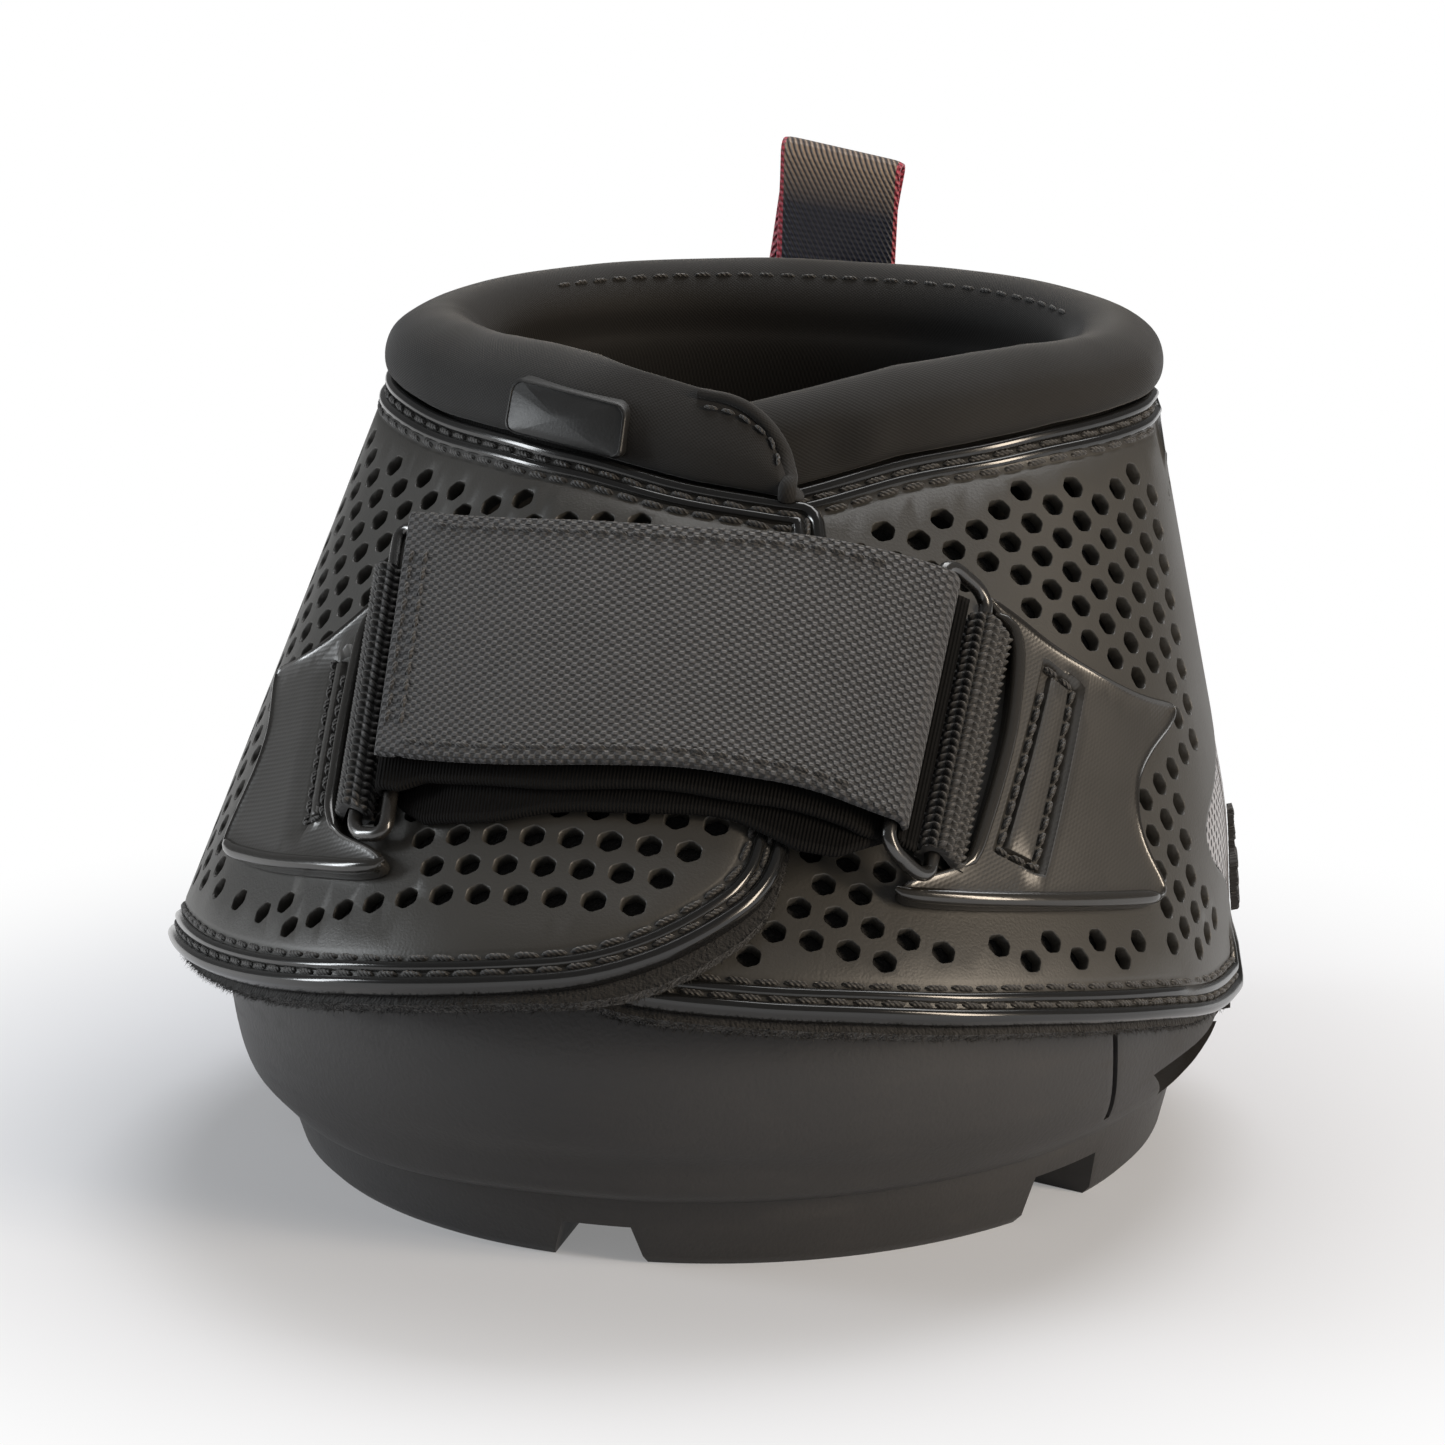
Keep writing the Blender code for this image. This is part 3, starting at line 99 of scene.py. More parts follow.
# The plates with the finer run of their edges: arm, nose, foot, bar, front rim
right_edge_shares = (
    (42.9, 0.806), (47.7, 0.778), (53.1, 0.742), (61.3, 0.698), (67.9, 0.668), (73.0, 0.650),
    (75.4, 0.643), (76.4, 0.634), (76.0, 0.624), (74.2, 0.612), (70.0, 0.596), (67.0, 0.575),
    (66.1, 0.554), (66.1, 0.519), (67.6, 0.482), (69.2, 0.456), (69.6, 0.442), (68.2, 0.432),
    (58.7, 0.452), (49.0, 0.471), (40.4, 0.486), (34.4, 0.497), (32.6, 0.504), (32.5, 0.512),
    (34.0, 0.518), (38.0, 0.524), (40.3, 0.529), (41.1, 0.541), (42.3, 0.571), (43.9, 0.613),
    (45.5, 0.662), (46.4, 0.712), (46.6, 0.745), (46.0, 0.765), (44.0, 0.781), (42.5, 0.797),
)
left_edge_shares = (
    (-58.8, 0.653), (-53.7, 0.674), (-49.6, 0.699), (-45.5, 0.727), (-41.1, 0.760), (-37.4, 0.790),
    (-36.6, 0.782), (-39.2, 0.748), (-40.4, 0.722), (-38.9, 0.676), (-36.8, 0.622), (-34.7, 0.573),
    (-33.4, 0.544), (-31.1, 0.522), (-28.6, 0.515), (-25.1, 0.509), (-22.6, 0.500), (-22.6, 0.490),
    (-25.8, 0.482), (-34.5, 0.475), (-45.7, 0.462), (-52.0, 0.454), (-54.6, 0.456), (-55.0, 0.472),
    (-54.7, 0.505), (-54.3, 0.545), (-55.0, 0.582), (-57.0, 0.606), (-59.4, 0.627), (-60.4, 0.641),
)
right_slot_shares = ((51.6, 0.727), (44.1, 0.535), (50.0, 0.503), (57.0, 0.690))
left_slot_shares = ((-42.7, 0.701), (-46.6, 0.685), (-38.3, 0.514), (-34.8, 0.528))

wall_box, sole_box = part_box("sole_wall"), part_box("sole")
boot_shift = np.array([(sole_box[0].x + sole_box[1].x) / 2, wall_box[1].y - wall_heel, 0])


def mix(a, b, share):
    return a + (b - a) * share


def ease(share):
    share = np.clip(share, 0, 1)
    return share * share * (3 - 2 * share)


def unit(vectors):
    length = np.linalg.norm(vectors, axis=-1, keepdims=True)
    return vectors / np.maximum(length, 1e-12)


def dot(a, b):
    return (a * b).sum(-1)


def bare_shell(angle, height):
    """Points of the ruled shell at angles in degrees, 0 at the toe and 90 at the right."""
    angle, height = np.broadcast_arrays(np.asarray(angle, float), np.asarray(height, float))
    share = (height - low_height) / (rim_height - low_height)
    half_width = mix(low_half_width, rim_half_width, share)
    middle = mix(low_middle, rim_middle, share)
    toe = mix(-low_toe, -rim_toe, share)
    heel = mix(low_heel, rim_heel, share)
    sine, cosine = np.sin(np.radians(angle)), np.cos(np.radians(angle))
    narrowing = 1 - heel_narrowing * ((1 - cosine) / 2) ** 1.5
    square = [np.sign(v) * np.abs(v) ** (2 / heel_squareness) for v in (sine, cosine)]
    front = cosine > 0
    x = half_width * np.where(front, sine, square[0]) * narrowing
    y = middle - np.where(front, (middle - toe) * cosine, (heel - middle) * square[1])
    return np.stack([x, y, height], -1)


def shell_slopes(angle, height):
    around = bare_shell(angle + 0.5, height) - bare_shell(angle - 0.5, height)
    rise = bare_shell(angle, rim_height) - bare_shell(angle, low_height)
    return around, rise / (rim_height - low_height)


def shell_normal(angle, height):
    around, rise = shell_slopes(np.asarray(angle, float), np.asarray(height, float))
    return unit(np.cross(around, rise))


def shell(angle, height, lift=0.0):
    angle, height = np.asarray(angle, float), np.asarray(height, float)
    # Low on its right side the boot is pressed in a little
    where = ease((angle - 66) / 26) * ease((128 - angle) / 26)
    lift = lift + where * (0.0009 - 0.0026 * (1 - ease((height / rim_height - 0.26) / 0.22)))
    return bare_shell(angle, height) + shell_normal(angle, height) * lift[..., None] + boot_shift


def left_lift(angle):
    return mix(flap_base_lift, overlap_lift, ease((np.asarray(angle, float) + 50) / 38))


def right_lift(angle):
    return np.zeros_like(np.asarray(angle, float))


def heel_lift(angle):
    return mix(0.0, flap_base_lift, ease((np.asarray(angle, float) % 360 - 180) / 82))


def curve_through(points, spacing):
    """Catmull-Rom curve through (angle, height) points, cut to steps of about the spacing."""
    points = np.array(points, float)
    last = len(points) - 1
    curve = [points[0]]
    for i in range(last):
        a, b, c, d = (points[k] for k in (max(i - 1, 0), i, i + 1, min(i + 2, last)))
        length = np.linalg.norm(bare_shell(*c) - bare_shell(*b))
        steps = max(1, round(length / spacing))
        for step in range(1, steps + 1):
            t = step / steps
            curve.append(0.5 * (2 * b + (c - a) * t + (2 * a - 5 * b + 4 * c - d) * t * t
                                + (3 * b - a - 3 * c + d) * t ** 3))
    return np.array(curve)


def heights(shares):
    return np.array([(angle, share * rim_height) for angle, share in shares])


def flap_path(shares, spacing=0.0016):
    path = curve_through(heights(shares), spacing)
    edge = path[0, 0]
    path[[0, -1], 0] = edge - math.copysign(math.degrees(gap / 2 / rim_half_width), edge)
    return path


def inset(path, distance, closed=False):
    """Path moved inward by a distance, without the points that a tight corner folds over."""
    places = bare_shell(path[:, 0], path[:, 1])
    if closed:
        tangent = np.roll(places, -1, 0) - np.roll(places, 1, 0)
    else:
        tangent = np.concatenate([places[1:], places[-1:]]) - np.concatenate([places[:1], places[:-1]])
    around, rise = shell_slopes(path[:, 0], path[:, 1])
    inward = unit(np.cross(unit(np.cross(around, rise)), tangent)) * distance
    a, b, c = dot(around, around), dot(around, rise), dot(rise, rise)
    p, q = dot(inward, around), dot(inward, rise)
    scale = a * c - b * b
    moved = path + np.stack([(c * p - b * q) / scale, (a * q - b * p) / scale], -1)
    if not closed:
        moved[[0, -1], 0] = path[[0, -1], 0]
    spots = bare_shell(moved[:, 0], moved[:, 1])
    near = np.linalg.norm(spots[:, None] - places[None], axis=-1).min(1)
    keep = near > abs(distance) * 0.93
    if not closed:
        keep[[0, -1]] = True
    return moved[keep]


def edge_distance(points, path, closed=False):
    """Distance of each (angle, height) point from a path, along the shell."""
    spots = bare_shell(points[:, 0], points[:, 1])
    starts = bare_shell(path[:, 0], path[:, 1])
    ends = np.roll(starts, -1, 0)
    if not closed:
        starts, ends = starts[:-1], ends[:-1]
    best = np.full(len(points), 1.0)
    for start, end in zip(starts, ends):
        edge = end - start
        share = np.clip((spots - start) @ edge / max(edge @ edge, 1e-12), 0, 1)
        reach = np.linalg.norm(start + share[:, None] * edge - spots, axis=1)
        best = np.minimum(best, reach)
    return best


def inside(points, polygon):
    """Which plane points lie inside a polygon."""
    x1, y1 = polygon.T
    x2, y2 = np.roll(polygon, -1, 0).T
    slant = (x2 - x1) / np.where(y2 == y1, 1, y2 - y1)
    odd = np.zeros(len(points), bool)
    for first in range(0, len(points), 1000):
        x, y = points[first:first + 1000].T[:, :, None]
        crosses = ((y1 > y) != (y2 > y)) & (x < x1 + (y - y1) * slant)
        odd[first:first + 1000] = crosses.sum(1) % 2 == 1
    return odd


# Shader values and finishes

class Value:
    """A shader value that takes part in Python sums."""

    def __init__(self, finish, socket):
        self.finish = finish
        self.socket = socket

    def join(self, operation, *others):
        sockets = dict(enumerate((self, *others)))
        return self.finish.node("Math", {"operation": operation}, sockets)

    def __add__(self, other):
        return self.join("ADD", other)

    def __sub__(self, other):
        return self.join("SUBTRACT", other)

    def __rsub__(self, other):
        return self.finish.node("Math", {"operation": "SUBTRACT"}, {0: other, 1: self})

    def __mul__(self, other):
        return self.join("MULTIPLY", other)

    def __truediv__(self, other):
        return self.join("DIVIDE", other)

    def __pow__(self, other):
        return self.join("POWER", other)

    __radd__ = __add__
    __rmul__ = __mul__


class Finish:
    """A material whose surface is one Principled shader."""

    def __init__(self, name, colour, roughness, **constants):
        self.material = bpy.data.materials.new(name)
        self.material.use_nodes = True
        self.tree = self.material.node_tree
        self.tree.nodes.clear()
        self.output = self.tree.nodes.new("ShaderNodeOutputMaterial")
        self.surface = self.tree.nodes.new("ShaderNodeBsdfPrincipled")
        self.tree.links.new(self.surface.outputs[0], self.output.inputs["Surface"])
        self.colour = (*colour, 1.0)
        self.set("Base Color", self.colour)
        self.set("Roughness", roughness)
        for socket, value in constants.items():
            self.set(socket.replace("_", " ").title().replace("Ior", "IOR"), value)

    def put(self, socket, value):
        if isinstance(value, Value):
            self.tree.links.new(value.socket, socket)
        else:
            socket.default_value = value

    def set(self, socket, value):
        self.put(self.surface.inputs[socket], value)

    def node(self, kind, settings=(), sockets=(), out=0):
        made = self.tree.nodes.new("ShaderNode" + kind)
        for setting, value in dict(settings).items():
            if setting == "stops":
                for stop, (place, level) in zip(made.color_ramp.elements, value):
                    stop.position = place
                    stop.color = (level, level, level, 1)
            else:
                setattr(made, setting, value)
        for socket, value in dict(sockets).items():
            self.put(made.inputs[socket], value)
        return Value(self, made.outputs[out])

    def place(self):
        return self.node("TexCoord", out="Object")

    def mark(self, name):
        return self.node("Attribute", {"attribute_name": name}, out="Fac")

    def cloth(self):
        """Distances along and across a woven piece, in metres."""
        vector = self.node("Attribute", {"attribute_name": "cloth"}, out="Vector")
        return [self.node("SeparateXYZ", (), {0: vector}, axis) for axis in ("X", "Y")]

    def noise(self, scale, detail=2.0, stretch=None):
        vector = self.place()
        if stretch:
            vector = self.node("VectorMath", {"operation": "MULTIPLY"}, {0: vector, 1: stretch})
        sockets = {"Vector": vector, "Scale": scale, "Detail": detail}
        return self.node("TexNoise", (), sockets, "Fac")

    def steps(self, value, *stops):
        return self.node("ValToRGB", {"stops": stops}, {0: value})

    def blend(self, share, first, second):
        pair = [value if isinstance(value, Value) else (*value[:3], 1.0) for value in (first, second)]
        sockets = {0: share, 6: pair[0], 7: pair[1]}
        return self.node("Mix", {"data_type": "RGBA"}, sockets, 2)

    def emboss(self, height, strength, distance):
        sockets = {"Height": height, "Strength": strength, "Distance": distance}
        self.set("Normal", self.node("Bump", (), sockets, "Normal"))

    def tint(self, share, dark=0.7, bright=1.3):
        """Base colour that a 0 to 1 value moves between a darker and a brighter shade."""
        shades = [tuple(c * level for c in self.colour[:3]) for level in (dark, bright)]
        self.set("Base Color", self.blend(share, *shades))


def wave(value, length):
    """Cosine along a value, with a given wave length."""
    return (value * (2 * math.pi / length)).join("COSINE")


def make_sole_finish():
    finish = Finish("sole_rubber", (0.030, 0.029, 0.029), 0.6, specular_ior_level=0.45)
    broad, grain = finish.noise(38, 4), finish.noise(1500, 2)
    scuffs = finish.steps(finish.noise(120, 6, (1, 1, 3.5)), (0.52, 0), (0.74, 1))
    finish.tint(broad * 0.75 + scuffs * 0.35, 0.66, 1.45)
    finish.set("Roughness", 0.47 + broad * 0.16 + scuffs * 0.12)
    finish.emboss(grain * 0.5 + broad * 1.2, 0.35, 0.0004)
    return finish.material


def make_panel_finish():
    """Satin moulded rubber whose edge beads are polished."""
    finish = Finish("panel_rubber", (0.036, 0.034, 0.031), 0.42, specular_ior_level=0.6)
    bead, broad = finish.mark("bead"), finish.noise(60, 3)
    grain = finish.noise(2600, 2)
    finish.set("Base Color", finish.blend(bead, (0.040, 0.038, 0.034), (0.009, 0.009, 0.009)))
    finish.set("Roughness", 0.40 + broad * 0.12 - bead * 0.30)
    finish.emboss(grain * (1 - bead) + broad * 0.8, 0.16, 0.0003)
    return finish.material


def make_thread_finish():
    finish = Finish("stitch_thread", (0.012, 0.011, 0.010), 0.55, sheen_weight=0.25)
    along, round_it = finish.cloth()
    strand = wave(along + round_it, 0.00075) * 0.5 + 0.5
    finish.tint(strand * 0.7 + finish.noise(2500, 2) * 0.5, 0.35, 2.6)
    finish.emboss(strand, 0.6, 0.0002)
    return finish.material


def make_felt_finish():
    finish = Finish("lining_felt", (0.0085, 0.0080, 0.0075), 0.95, sheen_weight=0.12, sheen_roughness=0.6)
    tufts, fibres = finish.noise(420, 6), finish.noise(2400, 3, (1, 1, 0.3))
    specks = finish.steps(finish.noise(1900, 2), (0.60, 0), (0.72, 1))
    finish.tint(tufts * 0.5 + fibres * 0.5 + specks * 0.9, 0.3, 2.4)
    finish.emboss(tufts + fibres * 0.7, 0.9, 0.0009)
    return finish.material


def make_collar_finish():
    """Stretch jersey over foam."""
    finish = Finish("collar_cloth", (0.0088, 0.0081, 0.0075), 0.8, sheen_weight=0.16,
                    sheen_roughness=0.35, specular_ior_level=0.4)
    along, across = finish.cloth()
    knit = wave(along, 0.0007) * wave(across, 0.00055) * 0.5 + 0.5
    broad = finish.noise(45, 4)
    finish.tint(broad * 0.7 + knit * 0.3, 0.7, 1.35)
    finish.set("Roughness", 0.70 + broad * 0.2)
    finish.emboss(knit * 0.4 + broad * 1.5, 0.25, 0.0005)
    return finish.material


def make_webbing_finish():
    """Basket weave whose floats stand in a brick bond."""
    finish = Finish("strap_webbing", (0.0205, 0.0205, 0.0215), 0.62, sheen_weight=0.15,
                    sheen_roughness=0.4)
    along, across = finish.cloth()
    float_along, float_across = wave(along, 0.00165), wave(across, 0.00130)
    bond = finish.steps(float_along * float_across * 0.5 + 0.5, (0.28, 0), (0.74, 1))
    strands = wave(across + along * 0.15, 0.00022) * 0.5 + 0.5
    wear = finish.noise(160, 4)
    seam = finish.mark("seam")
    finish.tint((bond * 0.72 + strands * 0.16 + wear * 0.3) * (1 - seam * 0.95), 0.08, 2.9)
    finish.set("Roughness", 0.74 - bond * 0.26)
    finish.emboss(bond + strands * 0.12, 1.0, 0.00045)
    return finish.material


def make_under_finish():
    """Dark loop tape with fine ribs across it and a paler woven edge. The tape is dark itself, and its base is set
    darker still as painted shade, so that its turn round the right ring's front bar reads black.
    """
    # Base colour: the tape's own dark, plus painted shade for the shaded gap by the right ring.
    finish = Finish("under_tape", (0.0038, 0.0036, 0.0035), 0.95, specular_ior_level=0.1)
    along, across = finish.cloth()
    lip = finish.mark("lip")
    ribs = wave(along, 0.00055) * 0.5 + 0.5
    fuzz_noise = finish.noise(1800, 3)
    finish.tint(ribs * 0.4 + fuzz_noise * 0.6 + lip * 5, 0.4, 2.2)
    finish.emboss(ribs + fuzz_noise * 0.8, 0.7, 0.0003)
    return finish.material


def make_hook_finish():
    finish = Finish("hook_tape", (0.010, 0.010, 0.010), 0.7)
    along, across = finish.cloth()
    hooks = wave(along, 0.0014) * wave(across, 0.0012) * 0.5 + 0.5
    finish.tint(hooks, 0.4, 2.2)
    finish.emboss(hooks, 0.9, 0.0006)
    return finish.material


def make_elastic_finish():
    finish = Finish("elastic_webbing", (0.019, 0.018, 0.017), 0.55, sheen_weight=0.1)
    along, across = finish.cloth()
    ridge = finish.mark("ridge")
    strands = wave(across + along * 0.6, 0.00032) * 0.5 + 0.5
    finish.tint(finish.steps(ridge, (0.25, 0), (0.8, 1)) * 0.88 + strands * 0.12, 0.08, 2.5)
    finish.set("Roughness", 0.66 - ridge * 0.22)
    finish.emboss(strands, 0.35, 0.0002)
    return finish.material


def make_ring_finish():
    finish = Finish("ring_wire", (0.013, 0.012, 0.011), 0.26, coat_weight=0.5, coat_roughness=0.12,
                    specular_ior_level=0.7)
    broad, rubs = finish.noise(300, 4), finish.noise(70, 5)
    finish.tint(finish.steps(rubs, (0.45, 0), (0.75, 1)), 0.8, 1.9)
    finish.set("Roughness", 0.20 + broad * 0.14)
    finish.emboss(broad, 0.12, 0.0002)
    return finish.material


def make_plate_finish():
    """Glossy moulded plastic with a faint twill grain on its flats."""
    finish = Finish("plate_plastic", (0.030, 0.028, 0.025), 0.24, specular_ior_level=0.7)
    along, across = finish.cloth()
    bead = finish.mark("bead")
    twill = wave(along + across, 0.0022) * wave(along - across, 0.0011) * 0.5 + 0.5
    broad = finish.noise(90, 3)
    finish.tint(twill * (1 - bead) * 0.45 + broad * 0.4 - bead * 0.5, 0.7, 1.5)
    finish.set("Roughness", 0.34 + broad * 0.10 + twill * 0.06 - bead * 0.24)
    finish.emboss(twill * (1 - bead) * 0.5 + broad, 0.16, 0.0003)
    return finish.material


def make_mesh_finish():
    """Silvery spacer mesh with small eyes in staggered rows."""
    finish = Finish("heel_mesh_cloth", (0.30, 0.30, 0.32), 0.42, metallic=0.25)
    along, across = finish.cloth()
    eyes = wave(along, 0.0016) * wave(across, 0.0022) * 0.5 + 0.5
    shade = finish.steps(eyes, (0.55, 0), (0.80, 1))
    finish.set("Base Color", finish.blend(shade, (0.34, 0.34, 0.36), (0.035, 0.035, 0.04)))
    strands = wave(along + across, 0.0004) * 0.5 + 0.5
    finish.set("Roughness", 0.36 + shade * 0.4)
    finish.emboss(1 - shade + strands * 0.15, 0.9, 0.0004)
    return finish.material


def make_tape_finish():
    finish = Finish("tape_cloth", (0.012, 0.012, 0.013), 0.8, sheen_weight=0.15)
    along, across = finish.cloth()
    ribs = wave(across, 0.0013) * 0.5 + 0.5
    strands = wave(along + across * 0.5, 0.0006) * 0.5 + 0.5
    finish.tint(ribs * 0.7 + strands * 0.3, 0.4, 2.0)
    finish.emboss(ribs + strands * 0.3, 0.8, 0.0004)
    return finish.material


def make_badge_finish():
    finish = Finish("badge_plastic", (0.009, 0.009, 0.009), 0.40, specular_ior_level=0.45)
    grain, broad = finish.noise(2200, 2), finish.noise(200, 3)
    finish.tint(broad, 0.8, 1.3)
    finish.set("Roughness", 0.38 + broad * 0.15)
    finish.emboss(grain, 0.14, 0.0002)
    return finish.material


def make_tab_finish():
    """Navy twill tape with pink and red selvedges, and a tan painted highlight along its crown."""
    finish = Finish("tab_cloth", (0.004, 0.006, 0.026), 0.6, sheen_weight=0.04)
    along, across = finish.cloth()
    twill = wave(along * 0.55 + across, 0.00085) * 0.5 + 0.5
    picks = wave(along, 0.00085) * 0.5 + 0.5
    navy = finish.blend(twill, (0.0006, 0.0010, 0.004), (0.004, 0.007, 0.028))
    # Painted highlight: near the fold at the top (crown) the twill turns tan, for the light that the satin crown
    # catches.
    painted_crown_highlight = finish.blend(twill, (0.012, 0.012, 0.022), (0.40, 0.30, 0.22))
    crown = finish.steps((along - 0.0285).join("ABSOLUTE"), (0.0022, 1), (0.0060, 0))
    body = finish.blend(crown, navy, painted_crown_highlight)
    edge = finish.blend(picks, (0.16, 0.008, 0.018), (0.50, 0.06, 0.10))
    rim = (across.join("ABSOLUTE")).join("GREATER_THAN", 0.0086)
    finish.set("Base Color", finish.blend(rim, body, edge))
    finish.set("Roughness", 0.62 - twill * 0.2)
    finish.emboss(twill + picks * 0.4, 0.7, 0.00025)
    return finish.material


sole_rubber = make_sole_finish()
panel_rubber = make_panel_finish()
thread = make_thread_finish()
felt = make_felt_finish()
collar_cloth = make_collar_finish()
webbing = make_webbing_finish()
under_tape = make_under_finish()
hook_tape = make_hook_finish()
elastic_cloth = make_elastic_finish()
ring_wire = make_ring_finish()
plate_plastic = make_plate_finish()
mesh_cloth = make_mesh_finish()
tape_cloth = make_tape_finish()
badge_plastic = make_badge_finish()
tab_cloth = make_tab_finish()


# Mesh making

def piece(name, vertices, faces, material, body, slot, replaces=(), marks=(), smooth=40):
    """A mesh on a body. marks hold a value for each vertex, for its material to read."""
    mesh = bpy.data.meshes.new(name)
    mesh.from_pydata(np.asarray(vertices).tolist(), [], [[int(i) for i in f] for f in faces])
    work = bmesh.new()
    work.from_mesh(mesh)
    bmesh.ops.recalc_face_normals(work, faces=work.faces)
    work.to_mesh(mesh)
    work.free()
    mesh.shade_smooth()
    mesh.set_sharp_from_angle(angle=math.radians(smooth))
    for mark, values in dict(marks).items():
        values = np.asarray(values, np.float32)
        if values.ndim == 2:
            values = np.concatenate([values, np.zeros((len(values), 3 - values.shape[1]))], 1)
            mesh.attributes.new(mark, "FLOAT_VECTOR", "POINT").data.foreach_set("vector", values.ravel())
        else:
            mesh.attributes.new(mark, "FLOAT", "POINT").data.foreach_set("value", values)
    mesh.materials.append(material)
    thing = bpy.data.objects.new(name, mesh)
    bpy.context.collection.objects.link(thing)
    if body:
        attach(thing, body)
    if replaces:
        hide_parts(*replaces)
    return thing


def grid_faces(rows, columns, closed_rows=False, closed_columns=True, caps=True):
    """Quads over rows of points. Open rows of closed columns get a cap at each end."""
    faces = []
    for r in range(rows if closed_rows else rows - 1):
        for c in range(columns if closed_columns else columns - 1):
            a, b = r * columns + c, r * columns + (c + 1) % columns
            d, e = ((r + 1) % rows) * columns + c, ((r + 1) % rows) * columns + (c + 1) % columns
            faces.append((a, b, e, d))
    if caps and not closed_rows:
        faces.append(tuple(range(columns)))
        faces.append(tuple((rows - 1) * columns + c for c in range(columns)))
    return faces


def plane(points):
    """Plane coordinates in millimetres for triangulating (angle, height) points."""
    return np.stack([np.radians(points[:, 0]) * low_half_width, points[:, 1] * 0.85], -1) * 1000


def shell_sheet(outline, lines, holes, steps, outer, inner):
    """Vertices, faces and the (angle, height) of each vertex of a closed sheet.

    outline and the lines are runs of (angle, height) points, each line as (run, closed).
    holes are rings of points. steps give the grid's angle and height. outer and inner
    give the places of points on the two faces.
    """
    runs = [(outline, True)] + list(lines) + [(hole, True) for hole in holes]
    points, edges, index, names = [], [], {}, []
    for run, closed in runs:
        chain = []
        for point in run:
            key = (round(point[0], 4), round(point[1], 7))
            if key not in index:
                index[key] = len(points)
                points.append(tuple(point))
            chain.append(index[key])
        edges += [(a, b) for a, b in zip(chain, chain[1:] + chain[:1] * closed) if a != b]
        names.append(chain)
    border = plane(np.array(outline))
    fixed = plane(np.array(points))
    angles = np.arange(outline[:, 0].min() // steps[0], outline[:, 0].max() // steps[0] + 1) * steps[0]
    rises = np.arange(outline[:, 1].min() // steps[1], outline[:, 1].max() // steps[1] + 1) * steps[1]
    grid = np.array([(a + (k % 2) * steps[0] / 2, h) for k, h in enumerate(rises) for a in angles])
    grid = grid[inside(plane(grid), border)]
    flat_grid = plane(grid)
    reach = steps[1] * 1000 * 0.42
    clear = np.ones(len(grid), bool)
    for start in range(0, len(fixed), 500):
        apart = np.linalg.norm(flat_grid[:, None] - fixed[None, start:start + 500], axis=-1)
        clear &= apart.min(1) > reach
    for hole in holes:
        centre = plane(hole).mean(0)
        radius = np.linalg.norm(plane(hole) - centre, axis=1).max()
        clear &= np.linalg.norm(flat_grid - centre, axis=1) > radius * 1.25
    points += [tuple(point) for point in grid[clear]]
    flat = plane(np.array(points))
    result = delaunay_2d_cdt([Vector(p) for p in flat], edges, [], 0, 1e-5)
    made = np.array([tuple(v) for v in result[0]])
    origin = [sources[0] if sources else -1 for sources in result[3]]
    hole_of = {}
    for number, chain in enumerate(names[len(names) - len(holes):] if holes else []):
        for i in chain:
            hole_of[i] = number
    triangles = np.array(result[2])
    middle = made[triangles].mean(1)
    kept = inside(middle, border)
    faces = []
    for face, keep in zip(triangles, kept):
        around = {hole_of.get(origin[i], -1) for i in face}
        if keep and not (len(around) == 1 and -1 not in around):
            faces.append([int(i) for i in face])
    used = sorted({i for face in faces for i in face})
    order = {old: new for new, old in enumerate(used)}
    faces = [[order[i] for i in face] for face in faces]
    place = []
    for i in used:
        if origin[i] >= 0:
            place.append(points[origin[i]])
        else:
            x, y = made[i] / 1000
            place.append((math.degrees(x / low_half_width), y / 0.85))
    place = np.array(place)
    count = len(used)
    vertices = [outer(place), inner(place)]
    all_faces = list(faces) + [[i + count for i in reversed(face)] for face in faces]
    hole_at = {order[i]: hole_of[origin[i]] for i in used if origin[i] in hole_of}
    sides = {(a, b) for face in faces for a, b in zip(face, face[1:] + face[:1])}
    rims = {}
    for a, b in sides:
        if (b, a) in sides:
            continue
        if a in hole_at and hole_at.get(b) == hole_at[a]:
            rims.setdefault(hole_at[a], {})[a] = b
        else:
            all_faces.append([b, a, a + count, b + count])
    total = 2 * count
    marks = [place, place]
    for after in rims.values():
        ring = [next(iter(after))]
        while after[ring[-1]] != ring[0]:
            ring.append(after[ring[-1]])
        spots = place[ring]
        centre = spots.mean(0)
        size = len(ring)
        shares = ((0.975, 0.00004), (0.93, 0.00018))
        for share, depth in shares:
            vertices.append(outer(centre + (spots - centre) * share, depth))
            marks.append(spots)
        chain = [ring, list(range(total, total + size)), list(range(total + size, total + 2 * size)),
                 [i + count for i in ring]]
        for near, far in zip(chain, chain[1:]):
            for k in range(size):
                j = (k + 1) % size
                all_faces.append([near[j], near[k], far[k], far[j]])
        total += 2 * size
    return np.concatenate(vertices), all_faces, np.concatenate(marks)


